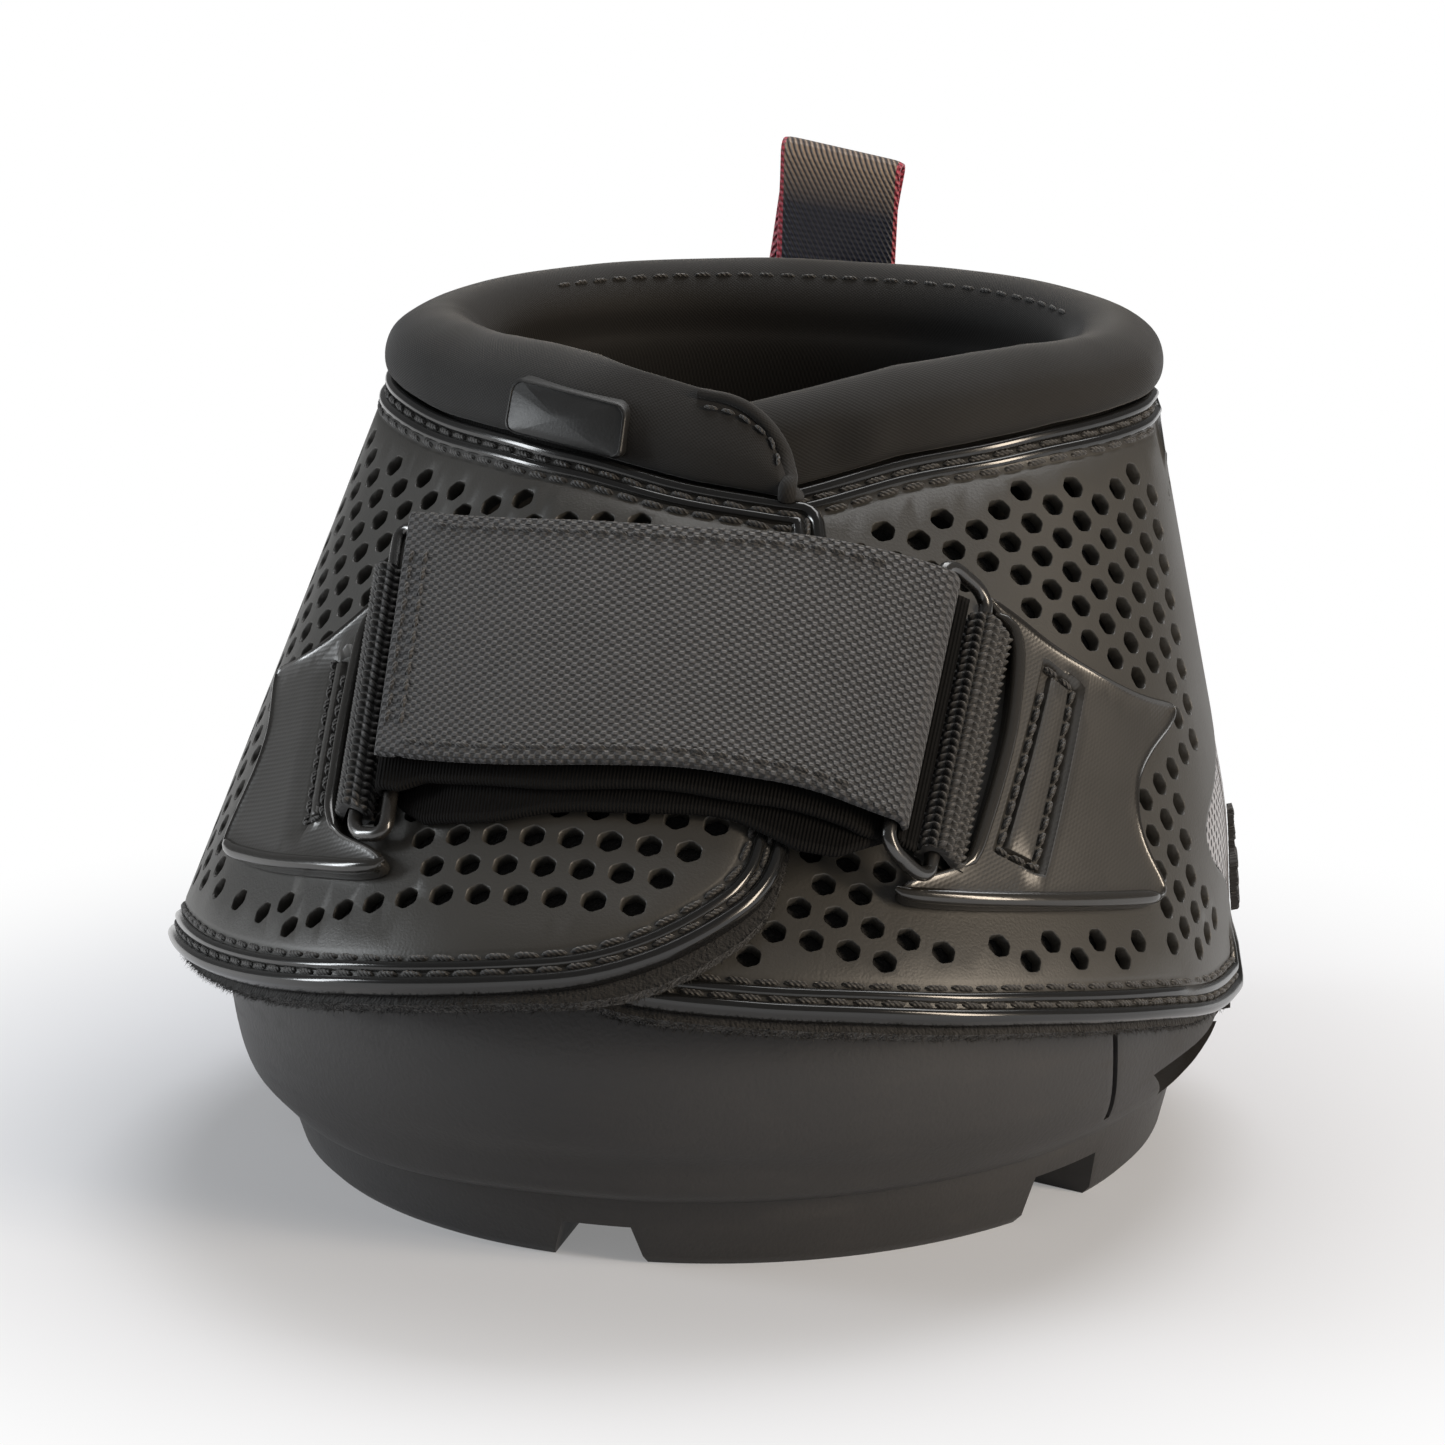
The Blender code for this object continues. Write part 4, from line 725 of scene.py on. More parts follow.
def tube(name, places, radii, material, body, slot, sides=12, closed=False, flat=None, **options):
    """A round rod along places. flat gives (direction, share) to press it flatter."""
    places = np.asarray(places, float)
    count = len(places)
    radii = np.broadcast_to(np.asarray(radii, float), count)
    if closed:
        tangents = unit(np.roll(places, -1, 0) - np.roll(places, 1, 0))
    else:
        tangents = unit(np.gradient(places, axis=0))
    guide = Vector(tangents[0]).orthogonal()
    vertices, cloth = [], []
    travelled = np.concatenate([[0], np.cumsum(np.linalg.norm(np.diff(places, axis=0), axis=1))])
    turns = np.arange(sides) * 2 * math.pi / sides
    for i in range(count):
        tangent = Vector(tangents[i])
        side = (guide - tangent * guide.dot(tangent)).normalized()
        guide = side
        up = tangent.cross(side)
        ring = np.outer(np.cos(turns), side) + np.outer(np.sin(turns), up)
        if flat:
            direction, share = np.asarray(flat[0][i]), flat[1]
            ring -= np.outer(ring @ direction, direction) * (1 - share)
        vertices.append(places[i] + ring * radii[i])
        cloth.append(np.stack([np.full(sides, travelled[i]), turns * radii[i]], -1))
    faces = grid_faces(count, sides, closed_rows=closed)
    marks = {"cloth": np.concatenate(cloth), "bead": np.ones(count * sides)}
    return piece(name, np.concatenate(vertices), faces, material, body, slot, marks=marks, **options)


def surface_line(path, distance, lift, extra=0.0, closed=False):
    """Places and normals along a line inside an (angle, height) path."""
    line = inset(path, distance, closed)
    if closed:
        line = np.concatenate([line, line[:1]])
    return shell(line[:, 0], line[:, 1], lift(line[:, 0]) + extra), shell_normal(line[:, 0], line[:, 1])


def stitches(name, lines, body, slot, pitch=0.0038, length=0.0035, radius=0.00042):
    """Rope-like stitches along lines of (places, normals)."""
    rings, sides = 11, 8
    vertices, faces, cloth = [], [], []
    turns = np.arange(sides) * 2 * math.pi / sides
    shares = np.linspace(0, 1, rings)
    girth = np.sqrt(np.maximum(1 - np.abs(2 * shares - 1) ** 3.5, 0.06)) * (1 + 0.07 * np.cos(shares * 40))
    base = np.array(grid_faces(rings, sides, caps=False))
    shift = 0
    for places, normals in lines:
        travelled = np.concatenate([[0], np.cumsum(np.linalg.norm(np.diff(places, axis=0), axis=1))])
        count = int((travelled[-1] - length) / pitch)
        for k in range(1, count):
            spots = k * pitch + shares * length + random.uniform(-0.00008, 0.00008)
            line = np.stack([np.interp(spots, travelled, places[:, i]) for i in range(3)], -1)
            up = unit(np.stack([np.interp(spots, travelled, normals[:, i]) for i in range(3)], -1))
            along = unit(np.gradient(line, axis=0))
            side = np.cross(along, up)
            slant = (shares - 0.5) * radius * random.uniform(-0.2, 1.0)
            line = line + up * ((girth - 0.62) * radius)[:, None] + side * slant[:, None]
            round_it = side[:, None] * np.cos(turns)[None, :, None] + up[:, None] * np.sin(turns)[None, :, None]
            vertices.append((line[:, None] + round_it * (girth * radius)[:, None, None]).reshape(-1, 3))
            cloth.append(np.stack(np.broadcast_arrays(spots[:, None], turns[None] * radius), -1).reshape(-1, 2))
            faces += (base + shift).tolist()
            faces.append([shift + i for i in range(sides)])
            faces.append([shift + (rings - 1) * sides + i for i in range(sides)])
            shift += rings * sides
    return piece(name, np.concatenate(vertices), faces, thread, body, slot,
                 marks={"cloth": np.concatenate(cloth)}, smooth=60)


# Sole

def sole_ring(sides, middle, reaches, levels, inward=0.0, drop=0.0, flank=0.0):
    half_width, toe, heel = (reach - inward for reach in reaches)
    angle = np.arange(sides) * 2 * math.pi / sides
    sine, cosine = np.sin(angle), np.cos(angle)
    end = np.where(cosine > 0, levels[0], levels[2])
    height = mix(levels[1], end, cosine ** 2) - drop * ease(-1.4 * sine)
    square = [np.sign(v) * np.abs(v) ** (2 / heel_squareness) for v in (sine, cosine)]
    turned = np.degrees(np.arccos(cosine))
    bulge = 1 + flank / half_width * ease((turned - 72) / 18) * ease((130 - turned) / 22)
    x = half_width * np.where(cosine > 0, sine, square[0]) * bulge
    y = middle - np.where(cosine > 0, (middle + toe) * cosine, (heel - middle) * square[1])
    return np.stack([x, y, height], -1) + boot_shift


def rounded_rings(rings, smooth):
    """Rings with a smooth run between those whose numbers are in smooth."""
    made = []
    last = len(rings) - 1
    for i in range(last):
        if i not in smooth:
            made.append(rings[i])
            continue
        a = rings[i - 1] if i - 1 in smooth else rings[i]
        b, c = rings[i], rings[i + 1]
        d = rings[i + 2] if i + 1 in smooth else rings[i + 1]
        for step in range(6):
            t = step / 6
            made.append(0.5 * (2 * b + (c - a) * t + (2 * a - 5 * b + 4 * c - d) * t * t
                               + (3 * b - a - 3 * c + d) * t ** 3))
    return made + [rings[last]]


def carve(thing, boxes):
    """Cut boxes, as (size, place, turn, low share, lean), out of a mesh and soften its edges."""
    tools = []
    for number, (size, place, turn, low_share, lean) in enumerate(boxes):
        mesh = bpy.data.meshes.new(f"carver_{number}")
        work = bmesh.new()
        bmesh.ops.create_cube(work, size=1.0)
        for vertex in work.verts:
            if vertex.co.z < 0:
                vertex.co.x *= low_share
        spot = Matrix.Translation(Vector(place) + Vector(boot_shift))
        turned = Matrix.Rotation(math.radians(turn), 4, "Z") @ Matrix.Rotation(math.radians(lean), 4, "Y")
        work.transform(spot @ turned @ Matrix.Diagonal((*size, 1)))
        work.to_mesh(mesh)
        work.free()
        tool = bpy.data.objects.new(mesh.name, mesh)
        bpy.context.collection.objects.link(tool)
        tools.append(tool)
        cut = thing.modifiers.new(tool.name, "BOOLEAN")
        cut.operation, cut.solver, cut.object = "DIFFERENCE", "EXACT", tool
    soften = thing.modifiers.new("soften", "BEVEL")
    soften.width, soften.segments, soften.limit_method = 0.0007, 3, "ANGLE"
    soften.angle_limit = math.radians(38)
    graph = bpy.context.evaluated_depsgraph_get()
    mesh = bpy.data.meshes.new_from_object(thing.evaluated_get(graph))
    thing.modifiers.clear()
    thing.data = mesh
    mesh.shade_smooth()
    mesh.set_sharp_from_angle(angle=math.radians(35))
    for tool in tools:
        bpy.data.objects.remove(tool)
    return thing


def direction_at(angle):
    return Vector((math.sin(math.radians(angle)), -math.cos(math.radians(angle)), 0))


def make_sole():
    sides, drop = 224, 0.0020
    tread_middle, wall_middle = 0.0100, 0.0010
    high_reach = (0.0690, 0.0700, 0.0683)
    wall_mid = tuple(h - d for h, d in zip(high_reach, (0.0007, 0.0026, 0.0015)))
    tread = tuple(h - d for h, d in zip(wall_mid, (0.0081, 0.0119, 0.0053)))
    lip = (high_reach[0] - 0.0023, high_reach[1] - 0.0020, high_reach[2] + 0.0007)
    recess = tuple(h - d for h, d in zip(tread, (0.0162, 0.0135, 0.0165)))
    crease = (0.0098, 0.0106, 0.0108)
    rings = [
        sole_ring(sides, tread_middle, recess, (0.0045,) * 3, 0.0015),
        sole_ring(sides, tread_middle, recess, (0, 0, 0)),
        sole_ring(sides, tread_middle, tread, (0, 0, 0)),
        sole_ring(sides, tread_middle, tread, (0.0012,) * 3, -0.0012),
        sole_ring(sides, tread_middle, tread, crease, -0.0036, drop),
        sole_ring(sides, wall_middle, wall_mid, crease, 0.0108, drop),
        sole_ring(sides, wall_middle, wall_mid, (0.0105,) * 3, 0.0111),
    ]
    vertices = np.concatenate(rings)
    tread_piece = piece("tread_and_floor", vertices, grid_faces(len(rings), sides), sole_rubber,
                        "boot_base", "sole", ("sole",))
    boxes = []
    for angle, width, height, low in ((0, 0.0096, 0.0056, 1.6), (68, 0.0135, 0.0068, 1.25), (-81, 0.0135, 0.0050, 1.25)):
        place = direction_at(angle) * (tread[0] if angle else tread[1])
        place.z = (height - 0.004) / 2
        place.x -= 0 if angle else 0.0020
        boxes.append(((width, 0.030, height + 0.004), place, angle, low, 0))
    carve(tread_piece, boxes)

    foot = tuple(level + 0.00002 for level in crease)
    lip_levels = (0.0425, 0.0360, 0.0380)
    full = (wall_mid[0] - 0.0013, wall_mid[1] - 0.0031, wall_mid[2] - 0.0013)
    rings = rounded_rings([
        sole_ring(sides, wall_middle, wall_mid, foot, 0.0105, drop),
        sole_ring(sides, tread_middle, tread, foot, -0.0036, drop),
        sole_ring(sides, tread_middle, tread, tuple(level + 0.0004 for level in foot), -0.0046, drop),
        sole_ring(sides, tread_middle, (tread[0] + 0.0055, tread[1] + 0.0076, tread[2] + 0.0050),
                  (0.0120, 0.0120, 0.0122), 0, drop),
        sole_ring(sides, 0.0030, full, (0.0165, 0.0144, 0.0144), 0, drop * 0.8, 0.0008),
        sole_ring(sides, wall_middle, wall_mid, (0.0210, 0.0205, 0.0205), flank=0.0032),
        sole_ring(sides, wall_middle, high_reach, (0.0320,) * 3),
        sole_ring(sides, wall_middle, lip, lip_levels),
        sole_ring(sides, wall_middle, lip, lip_levels, 0.0036),
        sole_ring(sides, wall_middle, wall_mid, (0.0210,) * 3, 0.0036),
        sole_ring(sides, wall_middle, wall_mid, (0.0140,) * 3, 0.0060),
    ], (1, 2, 3, 4, 5, 6))
    wall = piece("sole_cup_wall", np.concatenate(rings), grid_faces(len(rings), sides, closed_rows=True),
                 sole_rubber, "boot_base", "sole", ("sole_wall",))
    boxes = []
    for angle, width, lean in ((65.2, 0.0011, -11), (-68.5, 0.0034, 0)):
        place = direction_at(angle) * 0.0744
        place.z = (0.0145 + 0.0460) / 2
        boxes.append(((width, 0.020, 0.0315), place, angle, 1.0, lean))
    for angle in (101, -101):
        place = direction_at(angle) * wall_mid[0]
        place.y += wall_middle
        place.z = (0.0140 + 0.0480) / 2
        boxes.append(((0.011, 0.0216, 0.0340), place, angle, 0.25, 0))
    for angle in (91, -91):
        place = direction_at(angle) * 0.0725
        place.z = 0.0187
        boxes.append(((0.034, 0.020, 0.0064), place, angle, 0.66, math.copysign(11, -angle)))
    carve(wall, boxes)


# Flaps

hole_width = 0.0030
hole_pitch = 0.0050


def opposite(low, high, from_low, from_high):
    """The plane point at two distances from two others, on the right of low to high."""
    line = high - low
    length = np.linalg.norm(line)
    along = (from_low ** 2 - from_high ** 2 + length ** 2) / (2 * length)
    across = math.sqrt(max(0.0, from_low ** 2 - along ** 2))
    upward = line / length
    return low + upward * along + np.array([upward[1], -upward[0]]) * across


class FlatCut:
    """A flap's shell laid out flat, ruling by ruling."""

    def __init__(self, start, end):
        self.angles = np.linspace(start, end, round(abs(end - start) / 2) + 1)
        lows = bare_shell(self.angles, low_height)
        highs = bare_shell(self.angles, rim_height)
        low, high = np.zeros(2), np.array([0, np.linalg.norm(highs[0] - lows[0])])
        flat = [(low, high)]
        for i in range(1, len(self.angles)):
            low, before = opposite(low, high, np.linalg.norm(lows[i] - lows[i - 1]),
                                   np.linalg.norm(lows[i] - highs[i - 1])), low
            high = opposite(low, high, np.linalg.norm(highs[i] - lows[i]),
                            np.linalg.norm(highs[i] - highs[i - 1]))
            flat.append((low, high))
        self.lows, self.highs = (np.array(side) for side in zip(*flat))

    def lay(self, angle, height):
        share = (height - low_height) / (rim_height - low_height)
        low, high = (np.array([np.interp(angle, self.angles, side[:, k]) for k in (0, 1)])
                     for side in (self.lows, self.highs))
        return mix(low, high, share)

    def back(self, place):
        """Angle and height of a place on the flat cut, or None past its ends."""
        line = unit(self.highs - self.lows)
        apart = dot(place - self.lows, np.stack([line[:, 1], -line[:, 0]], -1))
        found = np.nonzero((apart[:-1] >= 0) & (apart[1:] < 0))[0]
        if not len(found):
            return None
        i = found[0]
        part = apart[i] / (apart[i] - apart[i + 1])
        low, high = (mix(side[i], side[i + 1], part) for side in (self.lows, self.highs))
        share = (place - low) @ (high - low) / ((high - low) @ (high - low))
        return mix(self.angles[i], self.angles[i + 1], part), mix(low_height, rim_height, share)


def plane_distance(place, polygon):
    ends = np.roll(polygon, -1, 0)
    edge = ends - polygon
    share = np.clip(dot(place - polygon, edge) / np.maximum(dot(edge, edge), 1e-12), 0, 1)
    return np.linalg.norm(polygon + share[:, None] * edge - place, axis=1).min()


def hexagonal_holes(path, row_shares, rise, lowest_row, covers):
    """Twelve-cornered rings of the holes, in rows on the flat cut, clear of the covers."""
    cut = FlatCut(path[:, 0].min(), path[:, 0].max())
    border = np.array([cut.lay(*point) for point in path])
    flats = [(np.array([cut.lay(*point) for point in cover]), margin) for cover, margin in covers]
    start, end = (cut.lay(angle, share * rim_height) for angle, share in row_shares)
    along = unit(end - start)
    up = np.array([-along[1], along[0]])
    corners = []
    for corner in range(30, 390, 60):
        for turn in (corner - 9, corner + 9):
            radius = (hole_width / 2 + 0.00013) / math.cos(math.radians(21))
            corners.append((radius * math.cos(math.radians(turn)), radius * math.sin(math.radians(turn))))
    centre, reach = (border.max(0) + border.min(0)) / 2, (border.max(0) - border.min(0)) / 2
    rings = []
    for row in range(lowest_row, 36):
        for column in range(-36, 36):
            middle = start + along * hole_pitch * (column + (row % 2) / 2) + up * rise * row
            if (np.abs(middle - centre) > reach).any() or plane_distance(middle, border) < 0.0082:
                continue
            if not inside(middle[None], border)[0]:
                continue
            if any(inside(middle[None], flat)[0] or plane_distance(middle, flat) < margin
                   for flat, margin in flats):
                continue
            laid = cut.back(middle)
            if laid is None or abs(laid[0]) > 88:
                continue
            ring = [cut.back(middle + along * x + up * y) for x, y in corners]
            rings.append(np.array(ring))
    return rings


bead_lines = (
    0.00012, 0.00035, 0.00065, 0.00095, 0.00125, 0.00155, 0.00178, 0.0020, 0.0026, 0.0028,
    0.0031, 0.0034, 0.0037, 0.0040, 0.0042, 0.0053, 0.0056, 0.0060,
)


def edge_profile(distance):
    """Height over a panel's face, and polish, at a distance from its free edge."""
    lip = -0.0009 + 0.00155 * np.sqrt(np.clip(1 - ((distance - 0.00095) / 0.00105) ** 2, 0, 1))
    second = -0.0003 + 0.00085 * np.sqrt(np.clip(1 - ((distance - 0.0034) / 0.0008) ** 2, 0, 1))
    height = np.where(distance < 0.0020, np.maximum(lip, np.where(distance > 0.001, -0.0003, lip)), second)
    height = np.where(distance > 0.0050, -0.0003 + 0.0003 * ease((distance - 0.0053) / 0.0007), height)
    polish = np.maximum(1 - np.clip((distance - 0.0018) / 0.0003, 0, 1),
                        1 - np.clip((np.abs(distance - 0.0034) - 0.0006) / 0.0003, 0, 1))
    return height, polish


def at_rear(points):
    """1 along the plain rear edge of a panel, 0 along its beaded edges."""
    share = points[:, 1] / rim_height
    return ease((np.abs(points[:, 0]) - 73) / 3) * ease((share - 0.29) / 0.05) * ease((0.93 - share) / 0.04)


def make_flap(name, shares, lift, holes, body, node):
    """A beaded, perforated panel with a curved rear edge, and the mesh shown behind that edge."""
    way = math.copysign(1, shares[0][0])
    rear = tuple((way * angle, share) for angle, share in rear_edge_shares)
    shares = shares[:-1] + rear if shares[0][1] > 0.9 else rear[::-1] + shares[1:]
    path = curve_through(heights(shares), 0.0016)
    path[:, 0] = np.clip(path[:, 0], -97.75, 97.75)
    lines = [(inset(path, distance)[2:-2], False) for distance in bead_lines]
    outline = path

    def raised(points):
        distance = edge_distance(points, path)
        height, polish = edge_profile(distance)
        plain = -0.0008 * np.clip(1 - distance / 0.0016, 0, 1) ** 2
        rear = at_rear(points)
        return mix(height, plain, rear), mix(polish, np.clip(1 - distance / 0.0016, 0, 1) * 0.5, rear)

    def outer(points, depth=0.0):
        return shell(points[:, 0], points[:, 1], lift(points[:, 0]) + raised(points)[0] - depth)

    def inner(points):
        return shell(points[:, 0], points[:, 1], lift(points[:, 0]) - panel_thickness)

    vertices, faces, points = shell_sheet(outline, lines, hexagonal_holes(path, *holes),
                                          (2.6, 0.0028), outer, inner)
    piece(name, vertices, faces, panel_rubber, body, "panel", (node,), {"bead": raised(points)[1]})
    rows = []
    for distance in (0.0023, 0.00475):
        line = inset(path, distance)
        line = line[at_rear(line) + (np.abs(line[:, 0]) > 97) * (line[:, 1] > 0.5 * rim_height) < 0.4]
        rows.append((shell(line[:, 0], line[:, 1], lift(line[:, 0]) - 0.0003), shell_normal(line[:, 0], line[:, 1])))
    stitches(name + "_stitches", rows, body, "panel")

    edge = np.array(sorted((share, angle) for angle, share in rear_edge_shares[3:13]))
    shares_up = np.linspace(0.262, 0.565, 44)
    rows, cloth = [], []
    for share in shares_up:
        start = np.interp(share, edge[:, 0], edge[:, 1]) + 0.35
        angles = way * np.linspace(min(start, 97.5), 97.87, 9)
        rise = share * rim_height
        rows.append(np.concatenate([shell(angles, rise, lift(angles) - 0.0007),
                                    shell(angles[::-1], rise, lift(angles) - 0.0018)]))
        around = np.radians(np.concatenate([angles, angles[::-1]])) * 0.068
        cloth.append(np.stack([around, np.full(18, rise)], -1))
    piece(name + "_side_mesh", np.concatenate(rows), grid_faces(len(rows), 18), mesh_cloth, body,
          "heel_mesh", marks={"cloth": np.concatenate(cloth)})


def panel_top(shares, angle):
    top = sorted((a, share) for a, share in shares if share > 0.884)
    return np.interp(angle, [a for a, _ in top], [s * rim_height for _, s in top])


def make_lining(name, shares, lift, body, node):
    """Felt behind a flap: its fuzzy edge shows below the flap, its top ends in the collar."""
    path = flap_path(shares, 0.004)
    middle = (low_height + rim_height) / 2
    top = panel_top(shares, path[:, 0])
    tuck = roll_tuck + gap
    show = 0.0006 + 0.0013 * ease((path[:, 0] + 8) / 22) * (node == "left_lining")
    height = path[:, 1].copy()
    is_top = (height > middle) & (np.abs(height - top) < lining_show)
    height = np.where(is_top, height - tuck, np.where(height < middle, height - show,
                                                      np.minimum(height, top - tuck)))
    outline = np.stack([path[:, 0], height], -1)
    low = lift(0) * 0 - panel_thickness - gap

    def ragged(points):
        return np.array([noise.noise(Vector(p) * 700) for p in shell(points[:, 0], points[:, 1])]) * 0.0002

    def outer(points, depth=0.0):
        return shell(points[:, 0], points[:, 1], lift(points[:, 0]) + low - 0.0002 + ragged(points))

    def inner(points):
        lifts = lift(points[:, 0]) + low - lining_thickness + 0.0002 + ragged(points)
        return shell(points[:, 0], points[:, 1], lifts)

    vertices, faces, points = shell_sheet(outline, [], [], (3.0, 0.0035), outer, inner)
    made = piece(name, vertices, faces, felt, body, "felt", (node,), smooth=70)
    bottom = outline[outline[:, 1] < middle]
    fuzz(name + "_fuzz", bottom, lambda a: lift(a) + low - lining_thickness / 2, body)
    return made


def fuzz(name, line, lift, body, count=2600):
    """Short fibres that stand out of a felt edge."""
    spots = np.interp(np.random.default_rng(3).random(count), np.linspace(0, 1, len(line)), np.arange(len(line)))
    angle = np.interp(spots, np.arange(len(line)), line[:, 0])
    height = np.interp(spots, np.arange(len(line)), line[:, 1])
    rng = np.random.default_rng(5)
    lifts = lift(angle) + rng.uniform(-0.0011, 0.0011, count)
    roots = shell(angle, height, lifts)
    normals = shell_normal(angle, height)
    around, rise = shell_slopes(angle, height)
    around, down = unit(around), -unit(rise)
    way = unit(down * rng.uniform(0.5, 1.2, (count, 1)) + normals * rng.uniform(-0.3, 0.9, (count, 1))
               + around * rng.normal(0, 0.6, (count, 1)))
    length = rng.uniform(0.0004, 0.0012, (count, 1))
    side = unit(np.cross(way, normals + 0.01)) * 0.00007
    tips = roots + way * length
    bend = roots + way * length * 0.5 + around * rng.normal(0, 0.00012, (count, 1))
    third = unit(np.cross(way, side)) * 0.00007
    vertices = np.stack([roots - way * 0.0002 + side, roots - way * 0.0002 - side,
                         roots - way * 0.0002 + third, bend, tips], 1).reshape(-1, 3)
    faces = []
    for k in range(count):
        a = k * 5
        faces += [(a, a + 1, a + 4), (a + 1, a + 2, a + 4), (a + 2, a, a + 4), (a, a + 2, a + 1)]
    keep = np.ones(len(vertices), bool)
    keep[3::5] = False
    order = np.cumsum(keep) - 1
    faces = [[order[i] for i in face] for face in faces]
    return piece(name, vertices[keep], faces, felt, body, "felt", smooth=80)


# Collar

roll_profile = np.array([
    (-0.02, 0.03), (0.09, 0.15), (0.125, 0.42), (0.06, 0.69), (-0.15, 0.90), (-0.42, 0.99),
    (-0.69, 0.90), (-0.88, 0.66), (-0.95, 0.35), (-0.88, -0.07),
])
roll_depth = 0.0130


def roll_height(angle):
    turned = abs((angle + 180) % 360 - 180)
    return mix(0.0128, 0.0090, float(ease((turned - 10) / 80)))


def roll_axes(angle, edge, lift):
    normal = shell_normal(angle, edge)
    flat = np.array([normal[0], normal[1], 0])
    rising = unit(shell_slopes(float(angle), edge)[1])
    return shell(angle, edge, lift), unit(flat), unit(rising + (0, 0, 1)), np.linalg.norm(flat)


def roll_ring(angle, edge, lift, tuck, depth_share, bulge, size, rise=1.0, steps=5):
    root, outward, upward, lean = roll_axes(angle, edge, lift)
    back = (panel_thickness + gap) / lean + gap
    profile = [(-back, -tuck), (-back, 0.0010)]
    for across, along in roll_profile:
        across = across * bulge if across > 0 else across
        reach = across * (roll_depth * depth_share if across < 0 else roll_depth)
        if across < 0 and along < 0:
            reach = min(reach, -back)
        profile.append((reach, along * roll_height(angle) * (rise if along > 0 else 1)))
    # The inner cloth runs on down over the lining, at the sides and the heel
    turned = abs((angle + 180) % 360 - 180)
    drape = 0.024 * float(ease((turned - 28) / 45))
    inmost = profile[-1][0]
    low_in = max(inmost, -back - 0.0032)
    profile += [(inmost, -tuck * 0.55), (mix(inmost, low_in, 0.55), -tuck - 0.45 * drape),
                (low_in, -tuck - drape), (min(-back, low_in + 0.0012), -tuck - drape)]
    profile = np.array(profile)
    middle = profile.mean(0)
    count = len(profile)
    fine = []
    for i in range(count):
        a, b, c, d = (profile[(i + k) % count] for k in (-1, 0, 1, 2))
        if i in (count - 1, 0):
            a, d = b, c
        for step in range(steps):
            t = step / steps
            fine.append(0.5 * (2 * b + (c - a) * t + (2 * a - 5 * b + 4 * c - d) * t * t
                               + (3 * b - a - 3 * c + d) * t ** 3))
    fine = middle + (np.array(fine) - middle) * size
    return root + fine[:, :1] * outward + fine[:, 1:] * upward


def soften_rings(rings, amount, frequency):
    """Rings with a slight unevenness, as stuffed cloth has."""
    made = []
    for ring in rings:
        centre = ring.mean(0)
        swell = [noise.noise(Vector(p) * frequency) * amount for p in ring]
        made.append(ring + unit(ring - centre) * np.array(swell)[:, None])
    return made


def collar_piece(name, rings, nodes):
    rings = soften_rings(rings, 0.00035, 55)
    sides = len(rings[0])
    travelled = np.cumsum([0] + [np.linalg.norm(b[20] - a[20]) for a, b in zip(rings, rings[1:])])
    girth = np.linspace(0, 0.06, sides)
    cloth = np.stack(np.broadcast_arrays(travelled[:, None], girth[None]), -1).reshape(-1, 2)
    made = piece(name, np.concatenate(rings), grid_faces(len(rings), sides), collar_cloth, None,
                 "collar", nodes, {"cloth": cloth}, smooth=65)
    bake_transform(made)
    return made


def end_rings(angle, way, build):
    """Rings that round off the end of a roll."""
    return [build(angle + way * math.sin(turn) * 2.4, math.cos(turn) ** 0.6)
            for turn in (0.35, 0.7, 1.0, 1.25, 1.42)]


